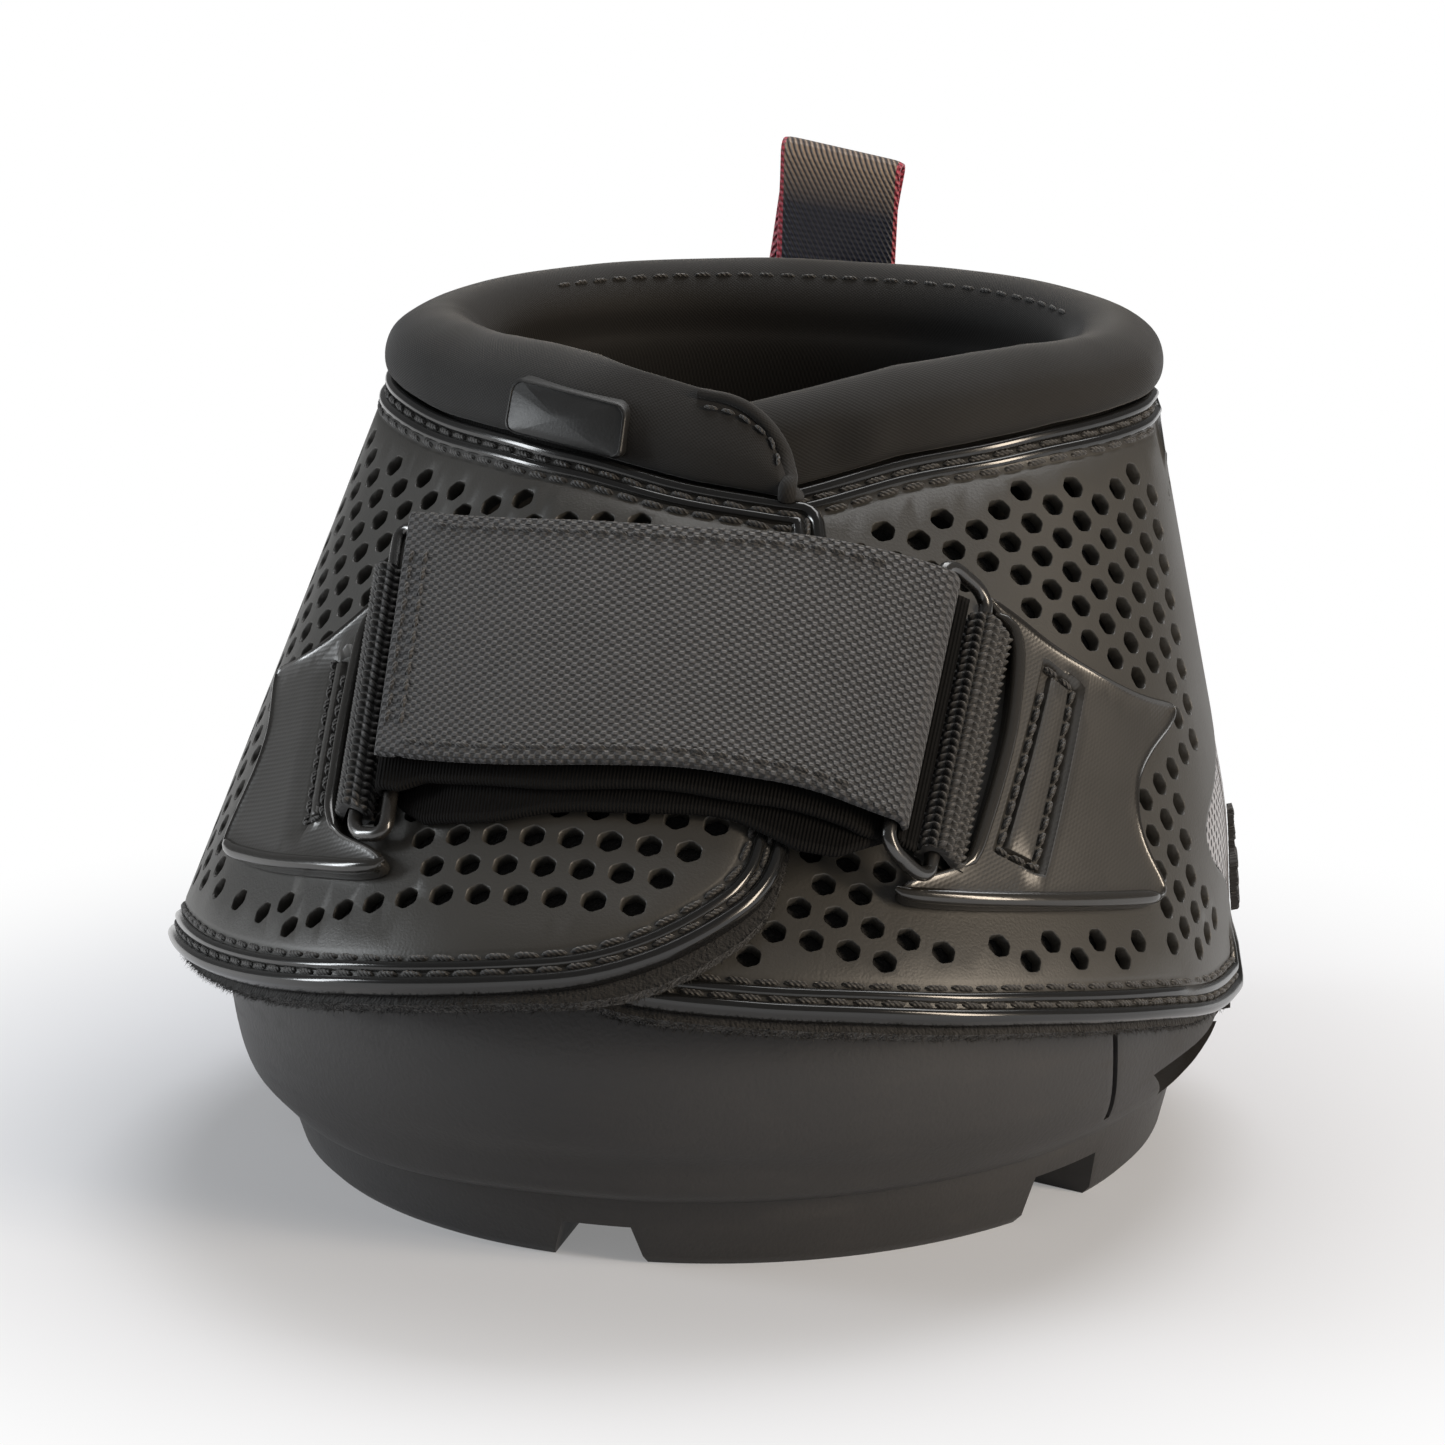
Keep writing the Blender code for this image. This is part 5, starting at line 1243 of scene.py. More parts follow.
def make_collars():
    heel_edge = 0.995 * rim_height

    def back_ring(angle):
        turned = angle % 360
        toward_left = float(ease((turned - 180) / 82))
        edge = mix(heel_edge, panel_top(left_flap_shares, -hinge_angle), toward_left)
        return roll_ring(angle, edge, mix(0.0, flap_base_lift, toward_left), roll_tuck, 1, 1, 1)

    def left_ring(angle, size=1.0):
        thin = float(ease((angle + 20) / 12))
        edge = float(panel_top(left_flap_shares, angle))
        fall = math.sqrt(max(0.02, 1 - max(0.0, min(1.0, (angle - 4.0) / 10.6)) ** 2))
        return roll_ring(angle, edge, float(left_lift(angle)), mix(roll_tuck, 0.0012, thin),
                         mix(1.0, 0.36, thin), 1.0, size, fall)

    def right_ring(angle, size=1.0):
        bulge = float(ease((angle - 18) / 8))
        edge = float(panel_top(right_flap_shares, angle))
        return roll_ring(angle, edge, 0.0, roll_tuck, 1.0, bulge, size)

    left = [back_ring(angle) for angle in np.arange(180.0, 262, 1.6)]
    left += [left_ring(angle) for angle in np.arange(-97.6, 3.5, 1.6)]
    left += [left_ring(angle) for angle in np.arange(3.6, 14.1, 0.7)]
    left += end_rings(14.1, 1, left_ring)
    right = [back_ring(angle) for angle in np.arange(180.0, 98.2, -1.6)]
    right += [right_ring(angle) for angle in np.arange(97.4, 4.1, -1.6)]
    right += end_rings(4.1, -1, right_ring)
    left_hinge = [shell(angle, rim_height, 0.0) for angle in (-106, -90)]
    right_hinge = [shell(angle, rim_height, 0.0) for angle in (106, 90)]
    collar_piece("left_collar_roll", left,
                 ("left_collar", "back_collar"))
    collar_piece("right_collar_roll", right,
                 ("right_collar", "back_collar"))

    # Seam inside the back rim, and the bound front end of the left roll
    seam = []
    for angle in np.arange(112, 248, 2.0):
        ring = back_ring(angle)
        seam.append((ring[42], unit(ring[42] - ring.mean(0))))
    places, normals = (np.array(side) for side in zip(*seam))
    stitches("rim_seam", [(places, normals)], "boot_base", "collar", 0.0032, 0.0024, 0.00028)
    corner = [(angle, 32) for angle in np.linspace(1.0, 13.2, 22)] + [(14.2, i) for i in (30, 26, 22, 18, 14)]
    bound = np.array([left_ring(angle)[i] for angle, i in corner])
    inner = np.array([left_ring(angle - 1.5)[max(14, i - 4)] for angle, i in corner])
    outward = unit(bound - np.array([left_ring(angle).mean(0) for angle, _ in corner]))
    tube("collar_binding", bound, 0.00125, collar_cloth, "left_flap", "collar", 12,
         flat=(outward, 0.6), smooth=60)
    faced = shell_normal(np.array([angle for angle, _ in corner]), 0.9 * rim_height)
    stitches("collar_binding_stitches", [(inner + faced * 0.0003, faced)], "left_flap", "collar",
             0.0026, 0.0020, 0.00026)


# Badge on the left roll

def make_badge():
    start, end, low, high = -27, -7.8, 0.0010, 0.0090

    def place(points, lift):
        made = []
        for (angle, along), raised in zip(points, np.broadcast_to(lift, len(points))):
            edge = float(panel_top(left_flap_shares, angle))
            root, outward, upward, _ = roll_axes(angle, edge, float(left_lift(angle)))
            rows = roll_profile[:5]
            reach = np.interp(along / roll_height(angle), rows[:, 1], rows[:, 0]) * roll_depth
            made.append(root + outward * (reach + raised) + upward * along)
        return np.array(made)

    per_degree = 0.00098
    radius = 0.0017
    corners = []
    for angle, along, turn in ((end, low, -90), (end, high, 0), (start, high, 90), (start, low, 180)):
        centre = (angle - math.copysign(radius / per_degree, angle - (start + end) / 2),
                  along - math.copysign(radius, along - (low + high) / 2))
        for step in np.linspace(turn, turn + 90, 7):
            corners.append((centre[0] + math.cos(math.radians(step)) * radius / per_degree,
                            centre[1] + math.sin(math.radians(step)) * radius))
    outline = np.array(corners)
    middle = np.array([(start + end) / 2, (low + high) / 2])
    rings, lifts = [], []
    for inward, raised in ((0.0, 0.0), (0.0, 0.0006), (0.0001, 0.00085), (0.00022, 0.00095),
                           (0.00040, 0.00095), (0.00052, 0.00075)):
        share = 1 - inward / np.array([(end - start) * per_degree / 2, (high - low) / 2])
        rings.append(middle + (outline - middle) * share)
        lifts.append(raised)
    for share in (0.8, 0.6, 0.4, 0.2, 0.02):
        rings.append(middle + (rings[5] - middle) * share)
        lifts.append(0.00075)
    vertices = [place(ring, 0.0012 + lift) for ring, lift in zip(rings, lifts)]
    vertices[0] = place(rings[0], 0.0002)
    faces = grid_faces(len(rings), len(outline))
    piece("badge", np.concatenate(vertices), faces, badge_plastic, "left_flap", "badge",
          ("badge_plate",), smooth=32)


# Anchor plates

def left_turning(outline):
    """The outline, run so that its inside is on its left."""
    flat = plane(outline)
    after = np.roll(flat, -1, 0)
    turn = (flat[:, 0] * after[:, 1] - after[:, 0] * flat[:, 1]).sum()
    return outline if turn > 0 else outline[::-1]


def make_plate(name, shares, slot_shares, lift, body, node, bars):
    """A plate with a thin rim, a thick bar along two of its edges and a sewn slot."""
    outline = left_turning(curve_through(heights(shares + shares[:1]), 0.0010)[:-1])
    for _ in range(3):
        outline = 0.5 * outline + 0.25 * (np.roll(outline, 1, 0) + np.roll(outline, -1, 0))
    corners = heights(slot_shares)
    slot = left_turning(np.concatenate([mix(a, b, np.linspace(0, 1, 15)[:-1, None])
                                        for a, b in zip(corners, np.roll(corners, -1, 0))]))
    slot_flat = plane(slot)
    top, foot = corners[[0, 3]].mean(0) if name == "right_plate" else corners[:2].mean(0), corners[[1, 2]].mean(0)
    foot = foot if name == "right_plate" else corners[2:].mean(0)
    lines = [(inset(outline, d, True), True) for d in (0.00012, 0.0003, 0.0005, 0.0007, 0.0012)]
    lines += [(inset(slot, d, True), True)
              for d in (-0.0033, -0.0020, -0.0010, -0.0007, -0.0004, 0, 0.0003, 0.0008, 0.0012, 0.0015, 0.0018)]
    if name == "left_plate":
        lines = [(run[edge_distance(run, outline, True) > 0.0015], False) if k in (5, 6) else (run, closed)
                 for k, (run, closed) in enumerate(lines)]
    else:
        lines = lines[:5] + lines[7:]

    def heights_over(points):
        distance = edge_distance(points, outline, True)
        rim = 0.0004 * np.sqrt(np.clip(1 - ((distance - 0.00035) / 0.0004) ** 2, 0, 1))
        height = np.where(distance < 0.00035, rim - 0.0004 * (1 - distance / 0.00035), rim)
        within = inside(plane(points), slot_flat)
        depth = np.where(within, 1, -1) * edge_distance(points, slot, True)
        groove = ease(depth / 0.0003) * (1 - 0.9 * ease((depth - 0.0012) / 0.0004))
        middle = np.interp(points[:, 1], [foot[1], top[1]], [foot[0], top[0]])
        ridge = (1 - ease(np.abs(depth + 0.0007) / 0.0004)) * ease((points[:, 0] - middle) / 1.5)
        polish = np.maximum(1 - np.clip((distance - 0.0007) / 0.0003, 0, 1), ridge * 0.7)
        if name == "left_plate":
            slope = np.clip(1 + depth / 0.0034, 0, 1) * (depth < 0)
            height = height - 0.0008 * slope * ease((middle - points[:, 0]) / 1.5)
        return height - 0.0011 * groove + 0.00028 * ridge, polish

    def outer(points, depth=0.0):
        height, _ = heights_over(points)
        return shell(points[:, 0], points[:, 1], lift(points[:, 0]) + gap + 0.0020 + height - depth)

    def inner(points):
        return shell(points[:, 0], points[:, 1], lift(points[:, 0]) + gap)

    vertices, faces, points = shell_sheet(outline, lines, [], (1.6, 0.0018), outer, inner)
    _, polish = heights_over(points)
    cloth = np.stack([np.radians(points[:, 0]) * low_half_width, points[:, 1] * 1.4], -1)
    piece(name, vertices, faces, plate_plastic, body, "plate", (node,), {"bead": polish, "cloth": cloth})
    for number, (first, last, radius) in enumerate(bars):
        run = curve_through(heights(shares)[first:last + 1], 0.0012)
        run = inset(run, radius * 0.8 * bar_side(run, outline))
        places = shell(run[:, 0], run[:, 1], lift(run[:, 0]) + gap + 0.0019)
        swell = np.sqrt(np.clip(1 - np.abs(2 * np.linspace(0, 1, len(run)) - 1) ** 12, 0.12, 1))
        tube(f"{name}_rim_{number}", places, radius * swell, plate_plastic, body, "plate", 14, smooth=60)
    seam = inset(slot, 0.0007, True)
    seam = np.concatenate([seam, seam[:2]])
    line = shell(seam[:, 0], seam[:, 1], lift(seam[:, 0]) + gap + 0.0014)
    stitches(name + "_stitches", [(line, shell_normal(seam[:, 0], seam[:, 1]))], body, "plate",
             0.0026, 0.0023, 0.00036)


def bar_side(run, outline):
    """1 where the run's inner side is on its left, -1 where it is on its right."""
    moved = inset(run, 0.0008)
    middle = moved[len(moved) // 2]
    return 1.0 if inside(plane(middle[None]), plane(outline))[0] else -1.0


# Strap, rings and elastics

strap_length = 0.081
strap_thickness = 0.0013
top_angles, bottom_angles = (-34, 37), (-26, 32)
strap_top = np.array([(0.0, 0.829), (0.37, 0.842), (0.54, 0.841), (0.72, 0.839), (0.89, 0.818), (1.0, 0.794)])
strap_bottom = np.array([(0.0, 0.581), (0.26, 0.591), (0.45, 0.600), (0.6, 0.602), (0.81, 0.584), (1.0, 0.541)])
return_lift, main_lift, tail_lift, tail_end_lift = 0.00125, 0.00285, 0.00535, 0.0055
tail_end_place, tail_bend_place, tail_rise_place = 0.0003, 0.0135, 0.0054
wire_radius = 0.0010
loop_radius = wire_radius + gap + strap_thickness / 2
left_front = (0.0015, 0.00165)
left_rear = (left_front[0] - 0.0068, 0.0010)
right_front = (strap_length - loop_radius - strap_thickness / 2, tail_lift - loop_radius)
right_rear = (right_front[0] + 0.0081, -0.0018)


def edge_height(shares, place):
    """Height of a strap edge, straight between its places and rounded over them."""
    total = 0
    for offset in np.linspace(-0.06, 0.06, 7):
        spot = place + offset
        inner = np.interp(spot, shares[:, 0], shares[:, 1])
        first, last = ((b - a)[1] / (b - a)[0] for a, b in (shares[:2], shares[-2:]))
        inner = inner + np.minimum(spot, 0) * first + np.maximum(spot - 1, 0) * last
        total = total + inner
    return total / 7 * rim_height


def strap_point(along, across, lift):
    along, across, lift = np.broadcast_arrays(*(np.asarray(v, float) for v in (along, across, lift)))
    share = along / strap_length
    low = shell(mix(*bottom_angles, share), edge_height(strap_bottom, share), overlap_lift + lift)
    high = shell(mix(*top_angles, share), edge_height(strap_top, share), overlap_lift + lift)
    return mix(low, high, across[..., None])


def arc(centre, radius, start, end, steps):
    turns = np.radians(np.linspace(start, end, steps + 1))
    return [(centre[0] + radius * math.cos(t), centre[1] + radius * math.sin(t)) for t in turns]


def run_between(start, end, step):
    count = max(1, round(math.dist(start, end) / step))
    return [(mix(start[0], end[0], i / count), mix(start[1], end[1], i / count)) for i in range(count)]


def fill_path(path, step):
    """Path with its long steps cut to about the step."""
    made = []
    for start, end in zip(path, path[1:]):
        made += run_between(start, end, step)
    return made + [path[-1]]


def strap_strip(name, path, thickness, low, high, material, body, slot, replaces=(), marks=None,
                border=0.0, pair=None):
    """A band along a path of (along, lift), with rounded edges and a pressed border line."""
    path = np.array(path)
    tangent = unit(np.gradient(path, axis=0))
    across = np.stack([-tangent[:, 1], tangent[:, 0]], -1)
    travelled = np.concatenate([[0], np.cumsum(np.linalg.norm(np.diff(path, axis=0), axis=1))])
    steps = np.concatenate([[0, 0.004, 0.012], np.linspace(0.025, 0.975, 58), [0.988, 0.996, 1]])
    round_edge = np.sqrt(np.clip(1 - np.clip(1 - np.minimum(steps, 1 - steps) / 0.014, 0, 1) ** 2, 0, 1))
    vertices, cloth, seams = [], [], []
    half = thickness / 2
    total = travelled[-1]
    lows, highs = (np.broadcast_to(level, len(path)) for level in (low, high))
    for i, point in enumerate(path):
        low_here, high_here = lows[i], highs[i]
        levels = mix(low_here, high_here, steps)
        end_round = min(1.0, math.sqrt(max(0.02, 1 - max(0, 1 - min(travelled[i], total - travelled[i]) / 0.0006) ** 2)))
        left = total - travelled[i]
        near = np.minimum(np.minimum(steps, 1 - steps) * 0.034, left)
        seam = np.exp(-((near - border) / 0.0007) ** 2)
        seam = np.maximum(seam, math.exp(-((left - border * 2.3) / 0.0007) ** 2)) if border else near * 0
        press = 0.0005 * seam
        for face in (1, -1):
            thick = half * round_edge * end_round - (press if face > 0 else 0)
            order = slice(None) if face > 0 else slice(None, None, -1)
            offset = (face * thick)[order]
            spots = point[None] + across[i][None] * offset[:, None]
            if face < 0:
                spots = spots[1:-1]
            share = levels[order] if face > 0 else levels[order][1:-1]
            vertices.append(strap_point(spots[:, 0], share, spots[:, 1]))
            cloth.append(np.stack([np.full(len(share), travelled[i]), share * 0.040], -1))
            seams.append(seam if face > 0 else seam[1:-1] * 0)
    sides = 2 * len(steps) - 2
    lip = 1 - np.clip(np.minimum(steps, 1 - steps) / 0.022, 0, 1)
    lip = np.tile(np.concatenate([lip, lip[::-1][1:-1]]), len(path))
    marks = {"cloth": np.concatenate(cloth), "lip": lip, "seam": np.concatenate(seams)}
    made = piece(name, np.concatenate(vertices), grid_faces(len(path), sides), material,
                 None if pair else body, slot, replaces, marks, smooth=50)
    return made


def band_path():
    bar = left_front
    radius = loop_radius
    dip = (bar[0] + 0.0117, return_lift)
    # The returning layer starts past the right ring's front bar, so that its dark tape lies under the ring's window: a
    # dark sheet as painted shade in the gap between the strap's fold and the elastic.
    path = [(0.0832, return_lift), dip]
    path += arc(bar, radius, 270, 90, 14)
    path += [(bar[0] + 0.0059, main_lift), (right_front[0] - 0.0059, main_lift)]
    path += arc(right_front, radius, -90, 0, 7)
    return fill_path(path, 0.0012)


def fold_path():
    """From the side of the right ring's bar over the fold to the strap's free end."""
    path = arc(right_front, loop_radius, 0, 90, 8)
    path += [(tail_bend_place, tail_lift), (tail_rise_place, tail_end_lift), (tail_end_place, tail_end_lift)]
    return fill_path(path, 0.0006)


def hang(path):
    """How low the two under-layers reach along the band's path."""
    path = np.array(path)
    turn = path[:, 0].argmin()
    wave_up = 0.008 * np.sin(path[:, 0] * 260)
    returning = np.interp(path[:, 0], (0.0010, 0.0035, 0.0075, 0.0166, 0.0277, 0.040, 0.056, 0.066, 0.072, 0.079),
                          (-0.10, -0.14, -0.185, -0.16, -0.13, -0.115, -0.12, -0.17, -0.15, -0.03)) + wave_up
    main = np.interp(path[:, 0], (0.0010, 0.0040, 0.0080, 0.052, 0.068, 0.0755, 0.0784),
                     (-0.10, -0.095, -0.045, -0.06, -0.06, -0.05, -0.03)) - wave_up * 0.5
    return np.where(np.arange(len(path)) < turn, returning, main)


def make_strap():
    strap_strip("strap_under", band_path(), strap_thickness, hang(band_path()), 0.985, under_tape,
                "strap", "webbing", ("strap_band",))
    top = strap_strip("strap_top", fold_path(), strap_thickness, 0.0, 1.0, webbing, None, "webbing",
                      ("strap_tail",), border=0.0019, pair=True)
    start = strap_point(right_front[0] + 0.0010, 0.5, right_front[1] - 0.0006)
    end = strap_point(right_front[0] - 0.0030, 0.5, tail_lift)
    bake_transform(top)
    rows = []
    margin = 0.0019 / 0.034
    spots = np.linspace(tail_end_place + 0.0022, strap_length - 0.0065, 90)
    lifts = np.interp(spots, [tail_end_place, tail_rise_place, tail_bend_place, 1],
                      [tail_end_lift, tail_end_lift, tail_lift, tail_lift]) + strap_thickness / 2
    for across in (margin, 1 - margin):
        places = strap_point(spots, across, lifts)
        rows.append((places, shell_normal(mix(-30, 34, spots / strap_length), 0.7 * rim_height)))
    heights_up = np.linspace(margin, 1 - margin, 40)
    for spot in (tail_end_place + 0.0019, tail_end_place + 0.0044):
        places = strap_point(spot, heights_up, tail_end_lift + strap_thickness / 2)
        rows.append((places, np.repeat(shell_normal(-30, 0.7 * rim_height)[None], 40, 0)))
    stitches("strap_border_stitches", rows, "strap_tail", "webbing", 0.0027, 0.0022, 0.0003)
    path = fill_path([(0.0152, (tail_lift + main_lift) / 2), (0.0452, (tail_lift + main_lift) / 2)], 0.0012)
    strap_strip("hook_patch", path, 0.0006, 0.08, 0.92, hook_tape, "strap_tail", "hook", ("hook_pad",))


def make_ring(name, front, rear, low, high, body, node):
    corner_along, corner_up = (front[0] - rear[0]) * 0.36, 0.055
    middle = (front[0] + rear[0]) / 2
    path = []
    for along, across, turn in ((front[0], low, -90), (front[0], high, 0), (rear[0], high, 90), (rear[0], low, 180)):
        centre = (along - math.copysign(corner_along, along - middle), across - math.copysign(corner_up, across - 0.5))
        for x, y in arc((0, 0), 1.0, turn, turn + 90, 9):
            share = (centre[0] + x * corner_along - rear[0]) / (front[0] - rear[0])
            level = centre[1] + y * corner_up
            start, end = strap_point(rear[0], level, rear[1]), strap_point(front[0], level, front[1])
            path.append(mix(start, end, share))
    path = np.array(path)
    fine = []
    for a, b in zip(path, np.roll(path, -1, 0)):
        count = max(1, round(np.linalg.norm(b - a) / 0.0012))
        fine += [mix(a, b, i / count) for i in range(count)]
    tube(name, fine, wire_radius, ring_wire, body, "ring", 16, closed=True, replaces=(node,), smooth=60)


def wrap(centre, radius, high, low, way, steps):
    reach = abs(high[0])
    turns = []
    for lift, sign in ((high[1], 1), (low[1], -1)):
        rise = lift - centre[1]
        turns.append(math.degrees(math.atan2(rise, reach)
                                  + sign * math.acos(radius / math.hypot(reach, rise))))
    points = arc((0, 0), radius, turns[0], turns[1] + 360, steps)
    points = fill_path([(reach, high[1] - centre[1]), points[0]], 0.0005) + points[1:-1] \
        + fill_path([points[-1], (reach, low[1] - centre[1])], 0.0005)
    return [(centre[0] + way * x, centre[1] + y) for x, y in points]


def make_elastic(name, bar, end, span, body, node):
    """Ribbed webbing round a ring's rear side, with zig-zag ribs that stand out of it."""
    rows, sizes = 200, (150, 40)
    way = math.copysign(1, end[0] - bar[0])
    inner, outer = wire_radius + gap, wire_radius + gap + 0.0012
    reach = end[0] - bar[0]
    turned = resample(wrap(bar, outer, (reach, end[1]), (reach, end[1] - 0.0027), way, 20), sizes[0])
    inside_run = resample(wrap(bar, inner, (reach, end[1] - 0.0012), (reach, end[1] - 0.0015), way, 20)[::-1],
                          sizes[1])
    travelled = np.concatenate([[0], np.cumsum(np.linalg.norm(np.diff(turned, axis=0), axis=1))])
    tangent = unit(np.gradient(turned, axis=0))
    normal = np.stack([tangent[:, 1], -tangent[:, 0]], -1) * way
    made, ridges, cloth = [], [], []
    for share in np.linspace(*span, rows):
        rib = zigzag(travelled, share * 0.040)
        ribbed = turned + normal * (rib * 0.0009 - 0.0003)[:, None]
        profile = np.concatenate([ribbed, inside_run])
        made.append(strap_point(profile[:, 0], share, profile[:, 1]))
        ridges.append(np.concatenate([rib, np.full(sizes[1], 0.3)]))
        cloth.append(np.stack([np.concatenate([travelled, np.zeros(sizes[1])]),
                               np.full(sum(sizes), share * 0.040)], -1))
    marks = {"ridge": np.concatenate(ridges), "cloth": np.concatenate(cloth)}
    made = piece(name, np.concatenate(made), grid_faces(rows, sum(sizes)), elastic_cloth,
                 body if way < 0 else None, "elastic", (node,), marks, smooth=75)
    if way > 0:
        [strap_point(bar[0] + reach * share, 0.5, end[1]).tolist()
                                             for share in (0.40, 0.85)]
        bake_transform(made)


def resample(line, count):
    line = np.array(line)
    travelled = np.concatenate([[0], np.cumsum(np.linalg.norm(np.diff(line, axis=0), axis=1))])
    spots = np.linspace(0, travelled[-1], count)
    return np.stack([np.interp(spots, travelled, line[:, k]) for k in range(2)], -1)


def zigzag(along, across):
    """0 to 1 height of slanted ribs in columns, each leaning against the next."""
    column = along / 0.00150
    number = np.floor(column)
    within = column - number
    lean = np.where(number % 2 == 0, within, 1 - within)
    rib = 0.5 + 0.5 * np.cos(2 * math.pi * (across / 0.00120 + lean * 0.55))
    groove = np.sin(math.pi * within) ** 0.6
    return rib * 0.85 * groove + 0.15 * groove


# Heel

def make_heel():
    start = hinge_angle + math.degrees(gap / 2 / rim_half_width)
    angles = np.linspace(start, 360 - start, 60)
    for name, low, high, top, thickness, material, slot, node in (
        ("heel_mesh_panel", 0.228 * rim_height, 0.995 * rim_height, -0.0006, panel_thickness - 0.0006, mesh_cloth,
         "heel_mesh", "heel_mesh"),
        ("heel_felt", 0.228 * rim_height - lining_show, 0.995 * rim_height - roll_tuck - gap * 2,
         -panel_thickness - gap, lining_thickness, felt, "felt", "heel_lining"),
    ):
        levels = np.linspace(low, high, 26)
        span = angles[None] + 0 * levels[:, None]
        rise = levels[:, None] + 0 * angles[None]
        lift = heel_lift(span)
        outer = shell(span, rise, lift + top)
        inner = shell(span, rise, lift + top - thickness)
        vertices = np.concatenate([outer.reshape(-1, 3), inner.reshape(-1, 3)])
        rows, columns = len(levels), len(angles)
        front = grid_faces(rows, columns, closed_columns=False, caps=False)
        count = rows * columns
        faces = front + [tuple(i + count for i in reversed(face)) for face in front]
        sides = {(a, b) for face in front for a, b in zip(face, face[1:] + face[:1])}
        faces += [(b, a, a + count, b + count) for a, b in sides if (b, a) not in sides]
        cloth = np.stack([np.radians(span.ravel()) * 0.068, rise.ravel()], -1)
        piece(name, vertices, faces, material, "boot_base", slot, (node,), {"cloth": np.tile(cloth, (2, 1))})
    bottom = np.stack([angles, np.full(60, 0.228 * rim_height - lining_show)], -1)
    fuzz("heel_felt_fuzz", bottom, lambda a: heel_lift(a) - panel_thickness - gap - lining_thickness / 2,
         "boot_base", 1400)

    low, high = 0.228 * rim_height + gap, 0.995 * rim_height - gap
    levels = np.linspace(low, high, 130)
    lift = float(heel_lift(180.0)) + gap
    rows = []
    for k, level in enumerate(levels):
        half = 7 + 0.35 * (k % 2)
        span = np.linspace(180 - half, 180 + half, 15)
        crown = 0.0012 * np.sqrt(np.clip(1 - ((span - 180) / half) ** 8, 0.15, 1)) * (0.92 + 0.08 * (k % 2))
        rows.append(np.concatenate([shell(span, level, lift + crown), shell(span[::-1], level, lift)]))
    cloth = np.array([(x, level) for level in levels for x in np.concatenate(
        [np.linspace(0, 0.018, 15), np.linspace(0.018, 0, 15)])])
    piece("heel_tape_ribbed", np.concatenate(rows), grid_faces(len(rows), 30), tape_cloth, "boot_base",
          "tape", ("heel_tape",), {"cloth": cloth}, smooth=50)
    rows = []
    levels = np.linspace(low + 0.001, high - 0.008, 60)
    for angle in (174.6, 185.4):
        rows.append((shell(angle, levels, lift + 0.0012), shell_normal(angle + 0 * levels, levels)))
    stitches("heel_tape_stitches", rows, "boot_base", "tape", 0.0027, 0.0022, 0.00024)
    # Frayed tape over the seam between the mesh and each flap
    rng = np.random.default_rng(9)
    for name, way in (("left_side_tape", -1), ("right_side_tape", 1)):
        rows, cloth = [], []
        for level in np.linspace(0.322, 0.440, 70) * rim_height:
            thick = ease((0.392 - level / rim_height) / 0.012)
            near, far = 101.2 - 2.4 * thick + rng.uniform(0, 0.5), 103.5 + rng.uniform(0, 0.8)
            span = way * np.linspace(near, far, 7)
            base = heel_lift(span % 360)
            rows.append(np.concatenate([shell(span, level, base + 0.0002 + 0.0003 * thick + rng.uniform(0, 0.0004)),
                                        shell(span[::-1], level, base[::-1] - 0.0004)]))
            around = np.radians(np.concatenate([span, span[::-1]])) * 0.068
            cloth.append(np.stack([around, np.zeros(14)], -1))
        piece(name, np.concatenate(rows), grid_faces(len(rows), 14), tape_cloth, "boot_base", "tape",
              marks={"cloth": np.concatenate(cloth)})


def make_pull_tab():
    """A twill tape loop, folded a little askew."""
    low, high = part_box("pull_tab")
    width, thickness, between = 0.0184, 0.0009, 0.0024
    front = low.y - boot_shift[1] + thickness / 2
    radius = (between + thickness) / 2
    base, top = rim_height - 0.0050, rim_height + 0.0253
    rows = []
    steps = np.linspace(0, 1, 25)
    cloth = []
    outline = None
    for share in steps:
        crown = top - radius - 0.0034 * share
        path = [(front, base), (front, crown)] + arc((front + radius, crown), radius, 180, 0, 12)[1:]
        path += [(front + radius * 2, base)]
        path = resample(fill_path(path, 0.001), 90)
        tangent = unit(np.gradient(path, axis=0))
        across = np.stack([-tangent[:, 1], tangent[:, 0]], -1)
        rim = math.sqrt(max(0.15, 1 - abs(2 * share - 1) ** 14))
        ring, marks = [], []
        travelled = np.linspace(0, 0.062, 90)
        for face in (1, -1):
            line = path + across * (face * thickness / 2 * rim)
            order = slice(None) if face > 0 else slice(None, None, -1)
            for (y, z), far in zip(line[order], travelled[order]):
                risen = (z - base) / (crown - base)
                leg = (y - front) / (radius * 2)
                bow = 0.0008 * math.sin(math.pi * min(1, max(0, risen))) * (1 - 2 * share) * 0.5
                x = (share - 0.5) * width - 0.0028 + 0.0012 * risen - 0.0031 * leg * (1 - risen)
                ring.append((x, y + bow, z))
                marks.append((far, (share - 0.5) * width))
        rows.append(np.array(ring) + boot_shift)
        cloth += marks
    piece("pull_tab_loop", np.concatenate(rows), grid_faces(len(rows), len(rows[0])), tab_cloth,
          "pull_tab", "tab", ("pull_tab",), {"cloth": np.array(cloth)}, smooth=50)


# Camera, floor and light

def aim(thing, place, target):
    thing.location = place
    thing.rotation_euler = (Vector(target) - Vector(place)).to_track_quat("-Z", "Y").to_euler()


def make_camera():
    camera = bpy.data.cameras.new("photo_camera")
    camera.sensor_width = 36
    camera.lens = 36 * 5900 / 1445
    thing = bpy.data.objects.new("photo_camera", camera)
    bpy.context.collection.objects.link(thing)
    turn = math.radians(14)
    place = Vector((0.8 * math.sin(turn), -0.8 * math.cos(turn), 0.2735)) + Vector(boot_shift)
    aim(thing, place, Vector((0.00108, 0, 0.06025)) + Vector(boot_shift))
    bpy.context.scene.camera = thing


